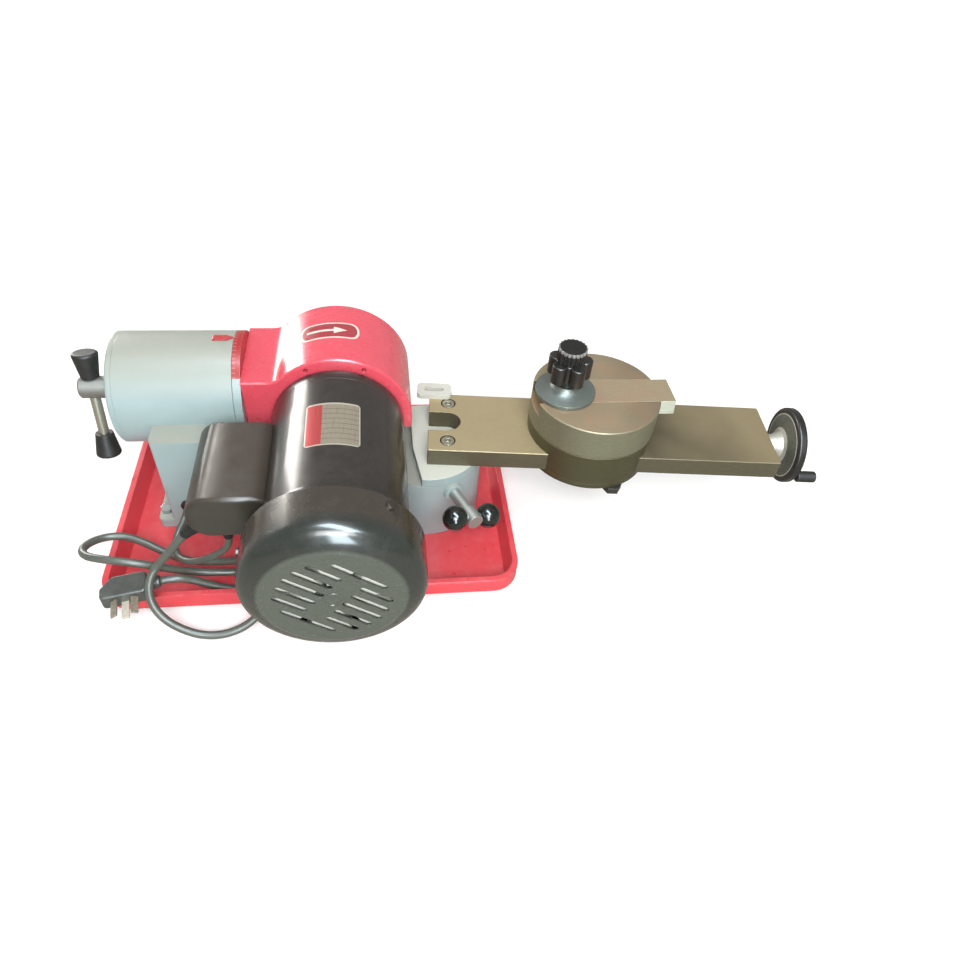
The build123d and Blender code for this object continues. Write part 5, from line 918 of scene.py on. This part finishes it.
# Ribs round the plug's neck, which tapers away from the body
NECK_OUT, NECK_BACK = 20, 2
NECK_AT = Vector(PLUG_AT) + Vector(PLUG_ACROSS) * NECK_OUT + Vector(PLUG_BACK) * NECK_BACK
RIB_COUNT, RIB_FIRST, RIB_EVERY = 3, 2.0, 2.6
NECK_RADIUS, NECK_TAPER = 6.3, 0.25
RIB_RISE, RIB_SINK, RIB_TOP_HALF, RIB_FOOT_HALF = 0.6, 1.0, 0.6, 0.9


def rib(index):
    """Profile of one rib along the neck."""
    along = RIB_FIRST + index * RIB_EVERY
    surface = NECK_RADIUS - index * NECK_TAPER
    foot, top = surface - RIB_SINK, surface + RIB_RISE
    return [(foot, along - RIB_FOOT_HALF), (top, along - RIB_TOP_HALF), (top, along + RIB_TOP_HALF),
            (foot, along + RIB_FOOT_HALF)]


turned("plug_ribs", [(NECK_AT, PLUG_ACROSS, rib(k)) for k in range(RIB_COUNT)], plug_plastic, "base")

# Studio, in metres: plain white floor, white surroundings, soft lamps
FLOOR_SIZE, FLOOR_DROP = 14, 0.0002
FLOOR_GLOW, FAR_GLOW = 0.14, 0.9
GLOW_X, GLOW_NEAR, GLOW_FAR = 0.1, 0.45, 1.5
FLOOR_GLOSSY = (0.36, 0.335, 0.30)
SKY_DIFFUSE = 0.72
SKY_GLOSSY = 0.42


def make_floor():
    """White floor whose own glow, seen by the camera alone, grows with the distance from the object."""
    bpy.ops.mesh.primitive_plane_add(size=FLOOR_SIZE, location=(0, 0, -FLOOR_DROP))
    floor = bpy.context.active_object
    floor.name = "floor"
    made, n, shader = new_material("floor_white")
    light = n.add("ShaderNodeLightPath")
    shade = n.mix(n.drift(scale=3, detail=2), (0.90, 0.90, 0.90), (0.92, 0.92, 0.92))
    n.feed(shader.inputs["Base Color"], n.mix(light.outputs["Is Glossy Ray"], shade, FLOOR_GLOSSY))
    x, y, _ = n.coords()
    squares = (n.math("POWER", n.math("SUBTRACT", x, GLOW_X), 2.0), n.math("POWER", y, 2.0))
    glow = n.span(n.math("SQRT", n.math("ADD", *squares)), GLOW_NEAR, GLOW_FAR, FLOOR_GLOW, FAR_GLOW)
    n.feed(shader.inputs["Emission Strength"], n.math("MULTIPLY", light.outputs["Is Camera Ray"], glow))
    shader.inputs["Emission Color"].default_value = (1, 1, 1, 1)
    shader.inputs["Roughness"].default_value = 0.9
    shader.inputs["Specular IOR Level"].default_value = 0.0
    dress(floor, made)


def make_world():
    """White to the camera, softer to diffuse and glossy rays."""
    world = bpy.data.worlds.new("studio")
    bpy.context.scene.world = world
    world.use_nodes = True
    tree = world.node_tree
    n = Nodes(tree)
    seen = n.add("ShaderNodeLightPath")
    level = SKY_DIFFUSE
    for ray, strength in (("Is Camera Ray", 1), ("Is Transmission Ray", 1), ("Is Glossy Ray", SKY_GLOSSY)):
        step = n.add("ShaderNodeMath", operation="MULTIPLY_ADD")
        n.feed(step.inputs[0], seen.outputs[ray])
        n.feed(step.inputs[1], strength - SKY_DIFFUSE)
        n.feed(step.inputs[2], level)
        level = step.outputs[0]
    back = tree.nodes["Background"]
    back.inputs["Color"].default_value = (1, 1, 1, 1)
    n.feed(back.inputs["Strength"], level)


def lamp(name, place, target, size, watts, colour=(1, 1, 1), sheen=False):
    """A soft rectangle; a sheen lamp shows in glossy surfaces alone."""
    data = bpy.data.lights.new(name, "AREA")
    data.shape = "RECTANGLE"
    data.size, data.size_y = size
    data.energy, data.color = watts, colour
    made = bpy.data.objects.new(name, data)
    bpy.context.collection.objects.link(made)
    made.location = place
    made.rotation_mode = "QUATERNION"
    made.rotation_quaternion = (Vector(target) - Vector(place)).to_track_quat("-Z", "Y")
    made.visible_diffuse = not sheen


OBJECT_MIDDLE = (0.05, 0.0, 0.1)
WINDOW_TARGET = (0.0, 0.0, 0.15)
make_floor()
make_world()
lamp("ceiling", place=(0.1, 0.25, 1.9), target=OBJECT_MIDDLE, size=(1.3, 1.3), watts=4)
lamp("window", place=(-0.96, 1.15, 0.45), target=WINDOW_TARGET, size=(0.45, 0.6), watts=8)
lamp("window_sheen", place=(-1.04, 1.20, 0.44), target=WINDOW_TARGET, size=(0.42, 0.9), watts=9,
     colour=(1, 0.94, 0.84), sheen=True)
lamp("front_fill", place=(0.12, -1.15, 1.15), target=OBJECT_MIDDLE, size=(0.9, 0.7), watts=24)
lamp("glint", place=(0.22, -0.4, 1.4), target=(0.04, -0.19, 0.16), size=(0.42, 1.3), watts=40,
     colour=(0.74, 0.89, 1.0), sheen=True)
lamp("front_glint", place=(0.16, -1.6, 0.75), target=(0.03, -0.2, 0.13), size=(0.4, 1.4), watts=36,
     colour=(0.76, 0.9, 1.0), sheen=True)

bpy.context.scene.view_settings.view_transform = "Standard"
